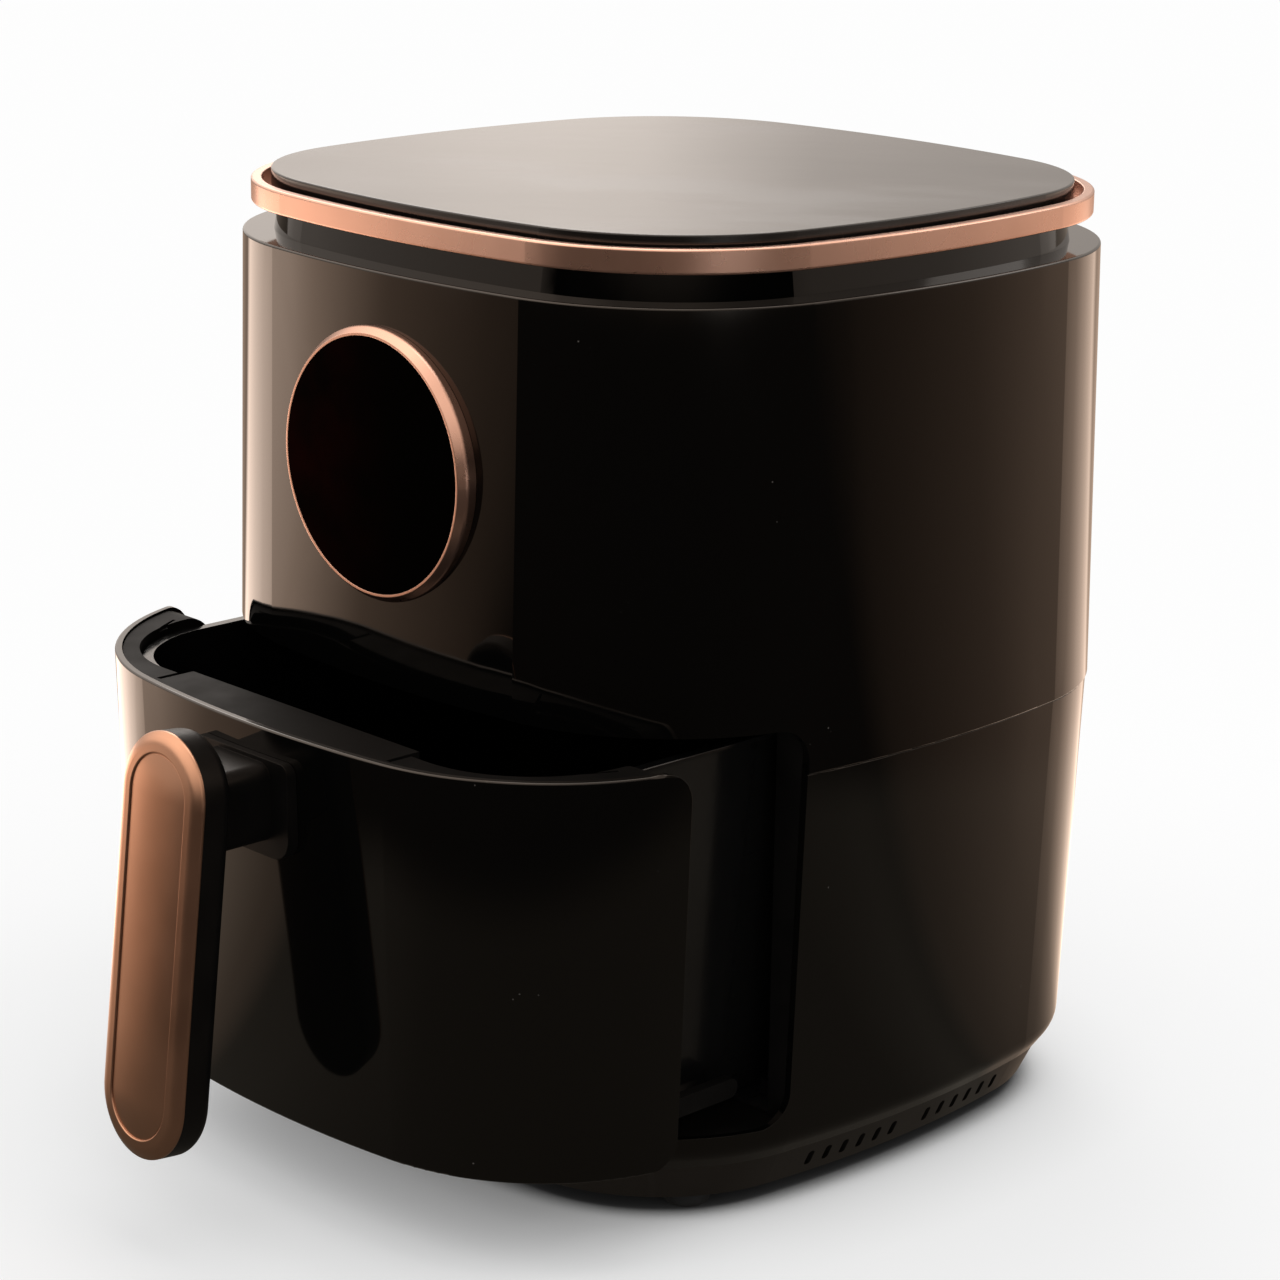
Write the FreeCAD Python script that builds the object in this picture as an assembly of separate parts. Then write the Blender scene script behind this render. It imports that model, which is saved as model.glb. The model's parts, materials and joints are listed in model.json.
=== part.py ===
import FreeCAD, Part
import math
import os
from FreeCAD import Vector

# Air fryer: a rounded housing with a round touch display, a fan-driven heater above the
# cooking chamber and a frying pan on a pull-out drawer front with a tilted handle.
# Millimetres, X to the right, the drawer pulls out along -Y, Z up, the floor at Z = 0.
# The drawer is built closed and exported pulled out by drawer_pull.

# Plan of the housing: a rounded square of long side arcs and tighter corner arcs
body_half_width = 134.0
side_arc_radius = 427.5
corner_arc_radius = 79.0

# Heights, from the floor up
foot_height = 6.0
base_height = 14.0
lower_height = 138.4
upper_height = 156.8
collar_height = 9.9
ring_height = 8.2
cover_rise = 3.4

# Moulded housing shells
housing_wall = 2.5
seam_flare = 2.9
seam_step = 0.6
seam_edge_radius = 0.5
tongue_height = 3.0
tongue_wall = 1.1
lower_taper = 4.5
hip_height = 6.0
hip_inset = 4.3
hip_radius = 8.0
shoulder_radius = 0.8
shoulder_reach = 18.0
fit_gap = 0.3

# Base plate, its feet and its screws
base_wall = 2.5
base_floor = 3.0
skirt_step = 0.8
skirt_draw_in = 6.6
base_rim_height = 5.0
base_rim_wall = 1.6
vent_count = 6
vent_pitch = 8.0
vent_width = 2.8
vent_height = 6.0
vent_radius = 1.2
vent_rise = 0.5
vent_centres = (-24.5, 33.5)
foot_radius = 8.0
foot_edge_radius = 1.5
foot_plug_radius = 3.0
foot_inset_x = 37.5
foot_inset_y = 54.0
pillar_radius = 5.0
pillar_inset = 26.0
pillar_y = 45.0
pillar_rib = 3.0
pillar_rib_height = 4.0
screw_radius = 1.9
screw_head_radius = 3.8
screw_head_height = 1.6
screw_clearance = 0.1
screw_tip_gap = 2.0
liner_post_radius = 6.0
liner_post_x = 70.0
liner_post_y = 40.0

# Collar, trim ring and cover at the top
neck_inset = 12.5
neck_flare = 1.5
neck_wall = 2.5
ring_inset = 3.1
ring_face = 3.8
ring_edge_radius = 0.8
ring_flange_height = 2.4
ring_flange_reach = 10.0
cover_groove = 3.3
cover_wall = 2.5
cover_edge_radius = 0.6

# Round touch display on the front
display_height = 250.6
lens_radius = 43.5
lens_thickness = 3.0
bezel_face = 1.0
bezel_face_radius = 0.4
bezel_flange = 2.2
bezel_flange_radius = 2.0
bezel_shoulder = 2.6
bezel_proud = 3.8
bezel_sleeve = 1.5
bezel_depth = 6.0
display_board_radius = 39.0
display_board_thickness = 1.6
display_module_width = 44.0
display_module_height = 22.0
display_module_depth = 2.0
display_holder_wall = 2.0
display_holder_depth = 14.0

# Drawer opening in the front of the housing
opening_past_corner = 11.3
opening_under_pan = 3.5
opening_over_pan = 6.5
opening_radius = 12.0

# Moulded frame round the opening and the deck above the chamber
frame_wall = 2.5
deck_slot_width = 6.0
deck_slot_length = 30.0
deck_slot_spread = 42.0

# Frying pan
pan_side_room = 22.5
pan_front_room = 17.5
pan_rear_room = 32.0
pan_bottom = 36.0
pan_height = 132.5
pan_draft = 6.5
pan_wall = 1.5
pan_corner_radius = 42.0
pan_base_radius = 10.0
pan_base_band = 14.0
pan_rim_out = 2.5
pan_rim_height = 1.6

# Chamber liner, the skids under the pan and the side rails under the drawer's tongues
liner_side_gap = 5.5
liner_rear_gap = 6.0
liner_wall = 1.0
liner_floor_gap = 4.5
skid_x = 62.0
skid_width = 8.0
skid_rear_gap = 14.0
rail_width = 6.0
rail_height = 5.0
rail_rise = 7.2
rail_rear_gap = 20.0

# Drawer front: gloss skin, matte inner shell and its tongues
drawer_pull = 54.0
front_proud = 2.0
front_gap = 1.2
front_bottom_gap = 1.5
front_top_gap = 2.5
front_wall = 2.5
front_lip = 0.8
front_edge_radius = 0.8
shell_wall = 2.2
shell_rear_gap = 1.8
shell_pan_gap = 0.8
front_tab_inset = 9.5
slit_width = 2.2
slit_margin = 2.5
groove_inset = 11.0
groove_width = 1.2
groove_depth = 1.4
groove_start = 24.0
groove_end = 66.0
tongue_bar_width = 4.0
tongue_bar_height = 7.0
tongue_bar_length = 43.0
tongue_bar_root = 18.0
pan_screw_x = 38.0
pan_screw_height = 140.0
pan_screw_boss_radius = 5.0
pan_screw_boss_length = 8.8
pan_screw_depth = 4.4

# Handle
handle_width = 43.0
handle_length = 145.0
handle_depth = 15.0
handle_tilt = 6.2
handle_mid_drop = 68.7
handle_reach = 44.1
handle_cover_depth = 3.4
handle_cover_radius = 1.2
handle_border_width = 7.1
handle_border_fall = 2.4
handle_crown_width = 4.1
handle_crown_fall = 0.5
handle_crown_radius = 6.0
handle_back_radius = 4.0
handle_recess_depth = 0.7
handle_recess_radius = 0.5
stem_half_width = 16.0
stem_drop = 10.5
stem_height = 27.0
stem_radius = 5.0
flange_half_width = 25.0
flange_drop = 9.0
flange_height = 33.5
flange_thickness = 4.0
flange_radius = 8.0
handle_screw_inset = 17.5
handle_screw_spacing = 13.0
handle_screw_length = 14.0

# Crisper plate in the pan
crisper_plate_wall = 1.5
crisper_leg_height = 12.0
crisper_leg_radius = 5.0
crisper_leg_room_x = 33.5
crisper_leg_room_y = 37.25
crisper_rim_height = 10.0
crisper_side_gap = 2.0
crisper_corner_radius = 30.0
crisper_hole_radius = 5.0
crisper_hole_pitch = 24.0
crisper_hole_count = 7
bumper_length = 20.0
bumper_height = 9.0
bumper_wall = 1.6

# Heater above the chamber
fan_axis_y = -6.0
heater_hole_inset = 15.5
dome_overlap = 8.0
dome_height = 46.0
dome_wall = 1.0
dome_flange = 7.0
dome_edge_radius = 10.0
dome_shaft_hole_radius = 6.0
guard_overlap = 5.0
guard_wall = 1.2
guard_ring_radii = (32.0, 54.0, 76.0)
guard_slot_width = 14.0
guard_slot_count = 6
guard_slot_span = 46.0
guard_hub_hole_radius = 12.0
clip_height = 5.5
clip_wall = 1.5
clip_overhang = 10.0
clip_angles = (30.0, 150.0, 210.0)
element_radius = 3.2
element_gap = 0.2
element_edge_gap = 6.0
element_loop_gap = 22.0
element_start = 290.0
element_span = 300.0
element_bend = 9.0
element_stub = 12.0
element_hole_gap = 1.5

# Motor, its bracket and the two fans on its shaft
bracket_inset = 32.0
bracket_half_width = 20.0
bracket_wall = 1.5
bracket_foot = 12.0
bracket_height = 26.0
bracket_hole_radius = 9.0
bearing_height = 8.0
bearing_half_length = 25.0
bearing_half_width = 8.0
bearing_hub_radius = 7.0
stator_height = 26.0
stator_half_width = 28.0
stator_front = 26.0
stator_back = 50.0
stator_bore_gap = 0.5
stator_corner_radius = 4.0
stator_window_half_width = 15.0
stator_window_front = 22.0
stator_core_depth = 10.0
coil_wall = 8.0
coil_gap = 0.3
coil_corner_radius = 3.0
motor_screw_x = 22.0
shaft_radius = 3.0
shaft_clearance = 0.05
shaft_below_fan = 4.0
shaft_above_bearing = 1.0
rotor_radius = 16.0
fan_drop = 8.0
fan_element_gap = 10.0
fan_plate = 1.2
fan_blade_height = 15.0
fan_blade_wall = 1.0
fan_blade_inner = 20.0
fan_blade_sweep = 20.0
fan_blade_count = 10
fan_hub_radius = 8.0
fan_hub_height = 8.0
hub_clearance = 0.02
cooling_fan_gap = 6.0
cooling_fan_radius = 52.0
cooling_fan_height = 12.0
cooling_hub_radius = 12.0
cooling_blade_count = 8
cooling_blade_pitch = 35.0

# Exhaust at the back
grille_half_width = 48.0
grille_rise = 16.2
grille_height = 44.0
grille_corner_radius = 6.0
grille_flange = 5.0
grille_flange_wall = 2.0
louvre_count = 6
louvre_height = 3.6
louvre_margin = 6.0
duct_half_width = 40.0
duct_rise = 12.2
duct_height = 26.0
duct_wall = 1.2

# Control electronics, safety switch and cord inlet
board_wall_gap = 18.0
board_half_length = 46.0
board_mid_y = 8.0
board_rise = 12.2
board_height = 72.0
board_wall = 1.6
board_bracket_wall = 1.0
board_bracket_foot = 12.0
board_post_radius = 3.0
board_post_length = 3.4
board_post_inset = 8.0
component_height = 7.5
component_rise = 24.0
relay_length = 20.0
relay_height = 16.0
relay_offset = 12.0
terminal_length = 40.0
terminal_height = 10.0
terminal_offset = 18.0
terminal_drop = 8.0
capacitor_count = 3
capacitor_radius = 5.0
capacitor_pitch = 14.0
capacitor_offset = 46.0
cutout_radius = 9.0
cutout_height = 7.0
cutout_inset = 23.1
cutout_angle = 40.0
cutout_terminal = 2.0
switch_drop = 22.0
switch_width = 8.0
switch_length = 20.0
switch_depth = 15.0
plunger_radius = 2.5
plunger_clearance = 0.05
plunger_stop_gap = 0.4
plunger_inside = 6.0
plunger_travel = 2.0
gland_x = 45.0
gland_height = 46.0
gland_radius = 8.0
gland_flange_radius = 11.0
gland_flange = 2.5
gland_depth = 12.0
gland_bore_radius = 3.6

# Heights worked out from the stack
base_top = foot_height + base_height
seam_z = base_top + lower_height
shoulder_z = seam_z + upper_height
collar_top = shoulder_z + collar_height
ring_top = collar_top + ring_height
cover_top = ring_top + cover_rise
base_floor_top = foot_height + base_floor
hip_z = base_top + hip_height
pan_rim_z = pan_bottom + pan_height
pan_floor_z = pan_bottom + pan_wall
opening_bottom = pan_bottom - opening_under_pan
opening_top = pan_rim_z + opening_over_pan
deck_bottom = opening_top + fit_gap
deck_top = deck_bottom + frame_wall
dome_top = deck_top + dome_height
grille_bottom = deck_top + grille_rise
grille_top = grille_bottom + grille_height
duct_bottom = deck_top + duct_rise
duct_top = duct_bottom + duct_height
board_bottom = deck_top + board_rise
board_top = board_bottom + board_height
rail_top = pan_bottom + rail_rise
switch_height = opening_top - switch_drop
front_bottom = opening_bottom + front_bottom_gap
front_top = opening_top - front_top_gap
trim_top = front_top - front_lip
stem_top = front_top - stem_drop
stem_bottom = stem_top - stem_height
flange_top = front_top - flange_drop
flange_bottom = flange_top - flange_height
handle_mid_height = front_top - handle_mid_drop
handle_screw_heights = [front_top - handle_screw_inset - i * handle_screw_spacing for i in (0, 1)]

# Plan offsets worked out from the body's half width at its shoulder
lower_top_offset = seam_flare - seam_step
hip_offset = lower_top_offset - lower_taper
ledge_offset = hip_offset - hip_inset
skirt_offset = ledge_offset - skirt_step
base_offset = skirt_offset - skirt_draw_in

# Widths, depths and radii worked out from the body's half width
foot_spread_x = body_half_width - foot_inset_x
foot_spread_y = body_half_width - foot_inset_y
pillar_x = body_half_width - pillar_inset
board_bracket_x = body_half_width - board_wall_gap
pan_half_width = body_half_width - pan_side_room
pan_front = body_half_width - pan_front_room
pan_rear = body_half_width - pan_rear_room
front_tab_half_width = pan_half_width - pan_corner_radius - front_tab_inset
crisper_leg_x = pan_half_width - crisper_leg_room_x
crisper_leg_y = (pan_front + pan_rear) / 2 - crisper_leg_room_y
heater_hole_radius = pan_half_width - heater_hole_inset
dome_radius = heater_hole_radius + dome_overlap
guard_radius = heater_hole_radius + guard_overlap
element_outer_radius = heater_hole_radius - element_edge_gap
element_inner_radius = element_outer_radius - element_loop_gap
clip_inner_radius = element_inner_radius - clip_overhang
fan_radius = element_inner_radius - fan_element_gap
bracket_half_length = dome_radius - bracket_inset

# The plan's arcs: long side arcs that meet the corner arcs with a common tangent
side_centre = body_half_width - side_arc_radius
centre_distance = side_arc_radius - corner_arc_radius
corner_centre = (side_centre + math.sqrt(2 * centre_distance ** 2 - side_centre ** 2)) / 2
junction_angle = math.degrees(math.atan2(corner_centre, corner_centre - side_centre))

# Depths worked out from the opening
opening_edge = corner_centre + opening_past_corner
frame_front = fit_gap - opening_edge
frame_rear = frame_front + frame_wall
front_edge_y = -opening_edge - front_gap
shell_rear_y = front_edge_y - shell_rear_gap
liner_half_width = pan_half_width + liner_side_gap
liner_rear = pan_rear + liner_rear_gap
liner_floor = pan_bottom - liner_floor_gap

UP = Vector(0, 0, 1)
REACH = 4.0 * body_half_width
CUT_PAST = 1.0
NEAR = 1e-6


# General shapes

def outline(points, place):
    """Closed wire through (u, v, corner radius) points, each put in space by place(u, v)."""
    count = len(points)
    entries = []
    exits = []
    middles = []
    for i, point in enumerate(points):
        corner = Vector(point[0], point[1], 0)
        radius = point[2] if len(point) > 2 else 0.0
        before = points[i - 1]
        after = points[(i + 1) % count]
        to_before = (Vector(before[0], before[1], 0) - corner).normalize()
        to_after = (Vector(after[0], after[1], 0) - corner).normalize()
        half_angle = to_before.getAngle(to_after) / 2
        run = radius / math.tan(half_angle) if radius else 0.0
        entries.append(corner + to_before * run)
        exits.append(corner + to_after * run)
        inward = (to_before + to_after).normalize()
        reach = radius / math.sin(half_angle) - radius
        middles.append(corner + inward * reach if radius else None)
    edges = []
    for i in range(count):
        start = exits[i - 1]
        end = entries[i]
        if start.distanceToPoint(end) > NEAR:
            edges.append(Part.LineSegment(place(start.x, start.y), place(end.x, end.y)).toShape())
        if middles[i]:
            ends = (end, middles[i], exits[i])
            edges.append(Part.Arc(*[place(p.x, p.y) for p in ends]).toShape())
    return Part.Wire(edges)


def plate(points, bottom, top):
    """Upright block on an outline of (x, y, corner radius) points."""
    face = Part.Face(outline(points, lambda x, y: Vector(x, y, bottom)))
    return face.extrude(Vector(0, 0, top - bottom))


def front_block(points, front, rear):
    """Block along Y on an outline of (x, z, corner radius) points."""
    face = Part.Face(outline(points, lambda x, z: Vector(x, front, z)))
    return face.extrude(Vector(0, rear - front, 0))


def side_block(points, left, right):
    """Block along X on an outline of (y, z, corner radius) points."""
    face = Part.Face(outline(points, lambda y, z: Vector(left, y, z)))
    return face.extrude(Vector(right - left, 0, 0))


def box(x, y, z):
    """Block between (low, high) pairs on the three axes."""
    return Part.makeBox(x[1] - x[0], y[1] - y[0], z[1] - z[0], Vector(x[0], y[0], z[0]))


def rod(radius, start, end):
    """Round bar between two points."""
    along = end - start
    return Part.makeCylinder(radius, along.Length, start, along)


def turned(points, x=0.0, y=0.0):
    """Body turned about an upright axis through (x, y), from (radius, z, corner radius) points."""
    face = Part.Face(outline(points, lambda r, z: Vector(x + r, y, z)))
    return face.revolve(Vector(x, y, 0), UP, 360)


def join(shapes):
    """One solid from touching or crossing solids."""
    return shapes[0].multiFuse(list(shapes[1:])).removeSplitter()


def mirrored(shape):
    """The same shape on the other side of the middle plane."""
    return shape.mirror(Vector(), Vector(1, 0, 0))


def four(x, y):
    """Four places, one in each quarter of the plan."""
    return [(sx * x, sy * y) for sx in (-1, 1) for sy in (-1, 1)]


def screw(head, tip):
    """Pan-head screw from the top of its head to its tip."""
    along = (tip - head).normalize()
    seat = head + along * screw_head_height
    return join([rod(screw_head_radius, head, seat), rod(screw_radius, seat, tip)])


# The plan and sections carried round it

def arc_run(x, y, radius, start, span):
    """Path piece: an arc about (x, y), seen from above, angles in degrees."""
    def carry_section(section):
        face = Part.Face(outline(section, lambda out, up: Vector(x + radius + out, y, up)))
        solid = face.revolve(Vector(x, y, 0), UP, span)
        solid.rotate(Vector(x, y, 0), UP, start)
        return solid
    return carry_section


def straight_run(x, y, facing, length):
    """Path piece: a straight wall from (x, y) whose outer side faces the given angle."""
    def carry_section(section):
        face = Part.Face(outline(section, lambda out, up: Vector(out, 0, up)))
        solid = face.extrude(Vector(0, length, 0))
        solid.rotate(Vector(), UP, facing)
        solid.translate(Vector(x, y, 0))
        return solid
    return carry_section


def carry(section, path):
    """Solid swept by a section of (outward, height, corner radius) points along a path."""
    return join([run(section) for run in path])


def plan_arcs():
    """The plan's eight arcs as (x, y, radius, start, span)."""
    arcs = []
    for turn in (0, 90, 180, 270):
        c = round(math.cos(math.radians(turn)))
        s = round(math.sin(math.radians(turn)))
        side = (c * side_centre, s * side_centre)
        arcs.append((*side, side_arc_radius, turn - junction_angle, 2 * junction_angle))
        corner = ((c - s) * corner_centre, (s + c) * corner_centre)
        arcs.append((*corner, corner_arc_radius, turn + junction_angle, 90 - 2 * junction_angle))
    return arcs


def plan_ring(section):
    """A section carried round the whole plan."""
    return carry(section, [arc_run(*arc) for arc in plan_arcs()])


def plan_wire(offset, z):
    """The plan's outline, moved outward by an offset, at a height."""
    edges = []
    for x, y, radius, start, span in plan_arcs():
        def at(angle):
            turn = math.radians(angle)
            return Vector(x, y, z) + Vector(math.cos(turn), math.sin(turn), 0) * (radius + offset)
        edges.append(Part.Arc(at(start), at(start + span / 2), at(start + span)).toShape())
    return Part.Wire(edges)


def plan_block(offset, bottom, top):
    """Straight-sided block on the plan."""
    return Part.Face(plan_wire(offset, bottom)).extrude(Vector(0, 0, top - bottom))


def plan_taper(low, high):
    """Tapered block on the plan between two (offset, z) pairs."""
    return Part.makeLoft([plan_wire(*low), plan_wire(*high)], True, True)


def upper_offset(z):
    """Plan offset of the upper housing's outer wall at a height."""
    return seam_flare * (shoulder_z - z) / upper_height


def lower_offset(z):
    """Plan offset of the lower housing's outer wall at a height above the hip."""
    return hip_offset + lower_taper * (z - hip_z) / (seam_z - hip_z)


def side_reach(place, offset):
    """Distance from the middle to a side arc, moved outward by an offset, at a place along that side."""
    return side_centre + math.sqrt((side_arc_radius + offset) ** 2 - place ** 2)


def corner_reach(place, offset):
    """The same for a corner arc."""
    return corner_centre + math.sqrt((corner_arc_radius + offset) ** 2 - (place - corner_centre) ** 2)


def axis_point(z):
    """Point on the fan's axis."""
    return Vector(0, fan_axis_y, z)


def rounded_path(half_width, front, rear, radius):
    """Closed path round a rounded rectangle seen from above."""
    side = rear - front - 2 * radius
    across = 2 * (half_width - radius)
    x = half_width - radius
    return [
        straight_run(half_width, front + radius, 0, side),
        arc_run(x, rear - radius, radius, 0, 90),
        straight_run(x, rear, 90, across),
        arc_run(-x, rear - radius, radius, 90, 90),
        straight_run(-half_width, rear - radius, 180, side),
        arc_run(-x, front + radius, radius, 180, 90),
        straight_run(-x, front, 270, across),
        arc_run(x, front + radius, radius, 270, 90),
    ]


def rounded_points(half_width, front, rear, radius):
    """Corners of a rounded rectangle seen from above."""
    return [(half_width, front, radius), (half_width, rear, radius),
            (-half_width, rear, radius), (-half_width, front, radius)]


# Housing shells

def drawer_opening():
    """Cut that takes the drawer front's place out of the housing."""
    return side_block([
        (-REACH, opening_bottom),
        (-opening_edge, opening_bottom, opening_radius),
        (-opening_edge, opening_top, opening_radius),
        (-REACH, opening_top),
    ], -REACH, REACH)


def lower_housing():
    inner_top = lower_top_offset - housing_wall
    shell = plan_ring([
        (lower_top_offset, seam_z, seam_edge_radius),
        (hip_offset, hip_z, hip_radius),
        (ledge_offset, base_top),
        (ledge_offset - housing_wall, base_top),
        (hip_offset - housing_wall, hip_z, hip_radius),
        (inner_top, seam_z + tongue_height),
        (inner_top + tongue_wall, seam_z + tongue_height),
        (inner_top + tongue_wall, seam_z),
    ])
    rib_bottom = base_top + base_rim_height + fit_gap
    rib_top = rib_bottom + pillar_rib_height
    wall_inside = plan_block(hip_offset - housing_wall / 2, rib_bottom, rib_top)
    pillars = []
    for x, y in four(pillar_x, pillar_y):
        outward = math.copysign(body_half_width, x)
        rib = box(sorted((x, outward)), (y - pillar_rib / 2, y + pillar_rib / 2), (rib_bottom, rib_top))
        post = rod(pillar_radius, Vector(x, y, base_floor_top), Vector(x, y, rib_top))
        pillars += [rib.common(wall_inside), post]
    shell = join([shell] + pillars)
    for x, y in four(pillar_x, pillar_y):
        hole = rod(screw_radius + screw_clearance, Vector(x, y, 0), Vector(x, y, rib_top))
        shell = shell.cut(hole)
    gland_hole = rod(gland_radius + fit_gap,
                     Vector(gland_x, 0, gland_height), Vector(gland_x, REACH, gland_height))
    return shell.cut(drawer_opening()).cut(gland_hole)


def upper_housing():
    inner_seam = seam_flare - housing_wall
    rebate = inner_seam + tongue_wall + fit_gap
    shell = plan_ring([
        (seam_flare, seam_z, seam_edge_radius),
        (0, shoulder_z, shoulder_radius),
        (-shoulder_reach, shoulder_z),
        (-shoulder_reach, shoulder_z - housing_wall),
        (-housing_wall, shoulder_z - housing_wall, shoulder_radius),
        (inner_seam, seam_z + tongue_height + fit_gap),
        (rebate, seam_z + tongue_height + fit_gap),
        (rebate, seam_z),
    ])
    sleeve = lens_radius + bezel_sleeve + fit_gap
    display_hole = rod(sleeve, Vector(0, 0, display_height), Vector(0, -REACH, display_height))
    return shell.cut(drawer_opening()).cut(display_hole).cut(grille_opening(fit_gap))


def top_collar():
    return plan_ring([
        (neck_flare - neck_inset, shoulder_z),
        (-neck_inset, collar_top),
        (-shoulder_reach, collar_top),
        (-shoulder_reach, collar_top - neck_wall),
        (-neck_inset - neck_wall, collar_top - neck_wall),
        (neck_flare - neck_inset - neck_wall, shoulder_z),
    ])


def trim_ring():
    inner = -ring_inset - ring_face
    return plan_ring([
        (-ring_inset, collar_top, ring_edge_radius),
        (-ring_inset, ring_top, ring_edge_radius),
        (inner, ring_top, ring_edge_radius / 2),
        (inner, collar_top + ring_flange_height),
        (inner - ring_flange_reach, collar_top + ring_flange_height),
        (inner - ring_flange_reach, collar_top),
    ])


def top_cover():
    offset = -ring_inset - ring_face - cover_groove
    bottom = collar_top + ring_flange_height
    block = plan_block(offset, bottom, cover_top)
    rim = [edge for edge in block.Edges if abs(edge.BoundBox.ZMin - cover_top) < NEAR]
    block = block.makeFillet(cover_edge_radius, rim)
    return block.cut(plan_block(offset - cover_wall, bottom - CUT_PAST, cover_top - cover_wall))


def base_plate():
    rim_outer = ledge_offset - housing_wall - fit_gap
    skirt = plan_ring([
        (skirt_offset, base_top),
        (base_offset, foot_height),
        (base_offset - base_wall, foot_height),
        (base_offset - base_wall, base_floor_top),
        (rim_outer - base_rim_wall, base_top),
        (rim_outer - base_rim_wall, base_top + base_rim_height),
        (rim_outer, base_top + base_rim_height),
        (rim_outer, base_top),
    ])
    floor = plan_block(base_offset - base_wall, foot_height, base_floor_top)
    posts = [rod(liner_post_radius, Vector(x, y, foot_height), Vector(x, y, liner_floor - liner_wall))
             for x, y in four(liner_post_x, liner_post_y)]
    plate_solid = join([skirt, floor] + posts)
    vent_bottom = base_floor_top + vent_rise
    slots = []
    for centre in vent_centres:
        for i in range(vent_count):
            y = centre + (i - (vent_count - 1) / 2) * vent_pitch
            slots.append(side_block([
                (y - vent_width / 2, vent_bottom, vent_radius),
                (y + vent_width / 2, vent_bottom, vent_radius),
                (y + vent_width / 2, vent_bottom + vent_height, vent_radius),
                (y - vent_width / 2, vent_bottom + vent_height, vent_radius),
            ], -REACH, REACH))
    inside = plan_block(base_offset - 2 * base_wall, 0, base_top + base_rim_height)
    for slot in slots:
        plate_solid = plate_solid.cut(slot.cut(inside))
    for x, y in four(pillar_x, pillar_y):
        hole = rod(screw_radius + screw_clearance, Vector(x, y, 0), Vector(x, y, base_floor_top))
        recess = rod(screw_head_radius + screw_clearance,
                     Vector(x, y, 0), Vector(x, y, foot_height + screw_head_height))
        plate_solid = plate_solid.cut(hole).cut(recess)
    for x, y in four(foot_spread_x, foot_spread_y):
        plug_hole = rod(foot_plug_radius + screw_clearance, Vector(x, y, 0), Vector(x, y, base_floor_top))
        plate_solid = plate_solid.cut(plug_hole)
    return plate_solid


def rubber_feet():
    feet = []
    for x, y in four(foot_spread_x, foot_spread_y):
        feet.append(turned([
            (0, 0), (foot_radius, 0, foot_edge_radius), (foot_radius, foot_height),
            (foot_plug_radius, foot_height), (foot_plug_radius, base_floor_top), (0, base_floor_top),
        ], x, y))
    return Part.makeCompound(feet)


def base_screws():
    tip = base_top + base_rim_height
    return Part.makeCompound([screw(Vector(x, y, foot_height), Vector(x, y, tip))
                              for x, y in four(pillar_x, pillar_y)])


# Round display

def bezel_front():
    """Front plane of the display, just proud of the housing's front wall."""
    return -body_half_width - upper_offset(display_height) - bezel_proud


def disc(radius, front, rear):
    """Round disc facing the front at the display's place."""
    return rod(radius, Vector(0, front, display_height), Vector(0, rear, display_height))


def display_bezel():
    face = bezel_front()
    bore = lens_radius + screw_clearance
    outer = lens_radius + bezel_face + bezel_flange
    rear = face + bezel_proud + bezel_depth

    def ring(points):
        section = Part.Face(outline(points, lambda radius, y: Vector(radius, y, display_height)))
        return section.revolve(Vector(0, 0, display_height), Vector(0, 1, 0), 360)

    flange = ring([(bore, face), (lens_radius + bezel_face, face, bezel_face_radius),
                   (outer, face + bezel_shoulder, bezel_flange_radius), (outer, rear), (bore, rear)])
    wall = plan_taper((upper_offset(seam_z) + screw_clearance, seam_z), (screw_clearance, shoulder_z))
    sleeve = ring([(bore, face + bezel_shoulder), (lens_radius + bezel_sleeve, face + bezel_shoulder),
                   (lens_radius + bezel_sleeve, rear), (bore, rear)])
    return join([flange.cut(wall), sleeve])


def display_lens():
    face = bezel_front() + fit_gap
    lens = disc(lens_radius, face, face + lens_thickness)
    front_edge = [edge for edge in lens.Edges if abs(edge.BoundBox.YMax - face) < NEAR]
    return lens.makeFillet(fit_gap, front_edge)


def display_board():
    seat = bezel_front() + fit_gap + lens_thickness
    module = front_block([
        (-display_module_width / 2, display_height - display_module_height / 2),
        (display_module_width / 2, display_height - display_module_height / 2),
        (display_module_width / 2, display_height + display_module_height / 2),
        (-display_module_width / 2, display_height + display_module_height / 2),
    ], seat, seat + display_module_depth)
    board_front = seat + display_module_depth
    return join([module, disc(display_board_radius, board_front, board_front + display_board_thickness)])


def display_holder():
    board_rear = bezel_front() + fit_gap + lens_thickness + display_module_depth + display_board_thickness
    lens_rear = bezel_front() + fit_gap + lens_thickness
    outer = lens_radius - fit_gap
    cup = disc(outer, lens_rear, lens_rear + display_holder_depth)
    hollow = disc(outer - display_holder_wall, lens_rear, board_rear)
    return cup.cut(hollow)


# Chamber

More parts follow.
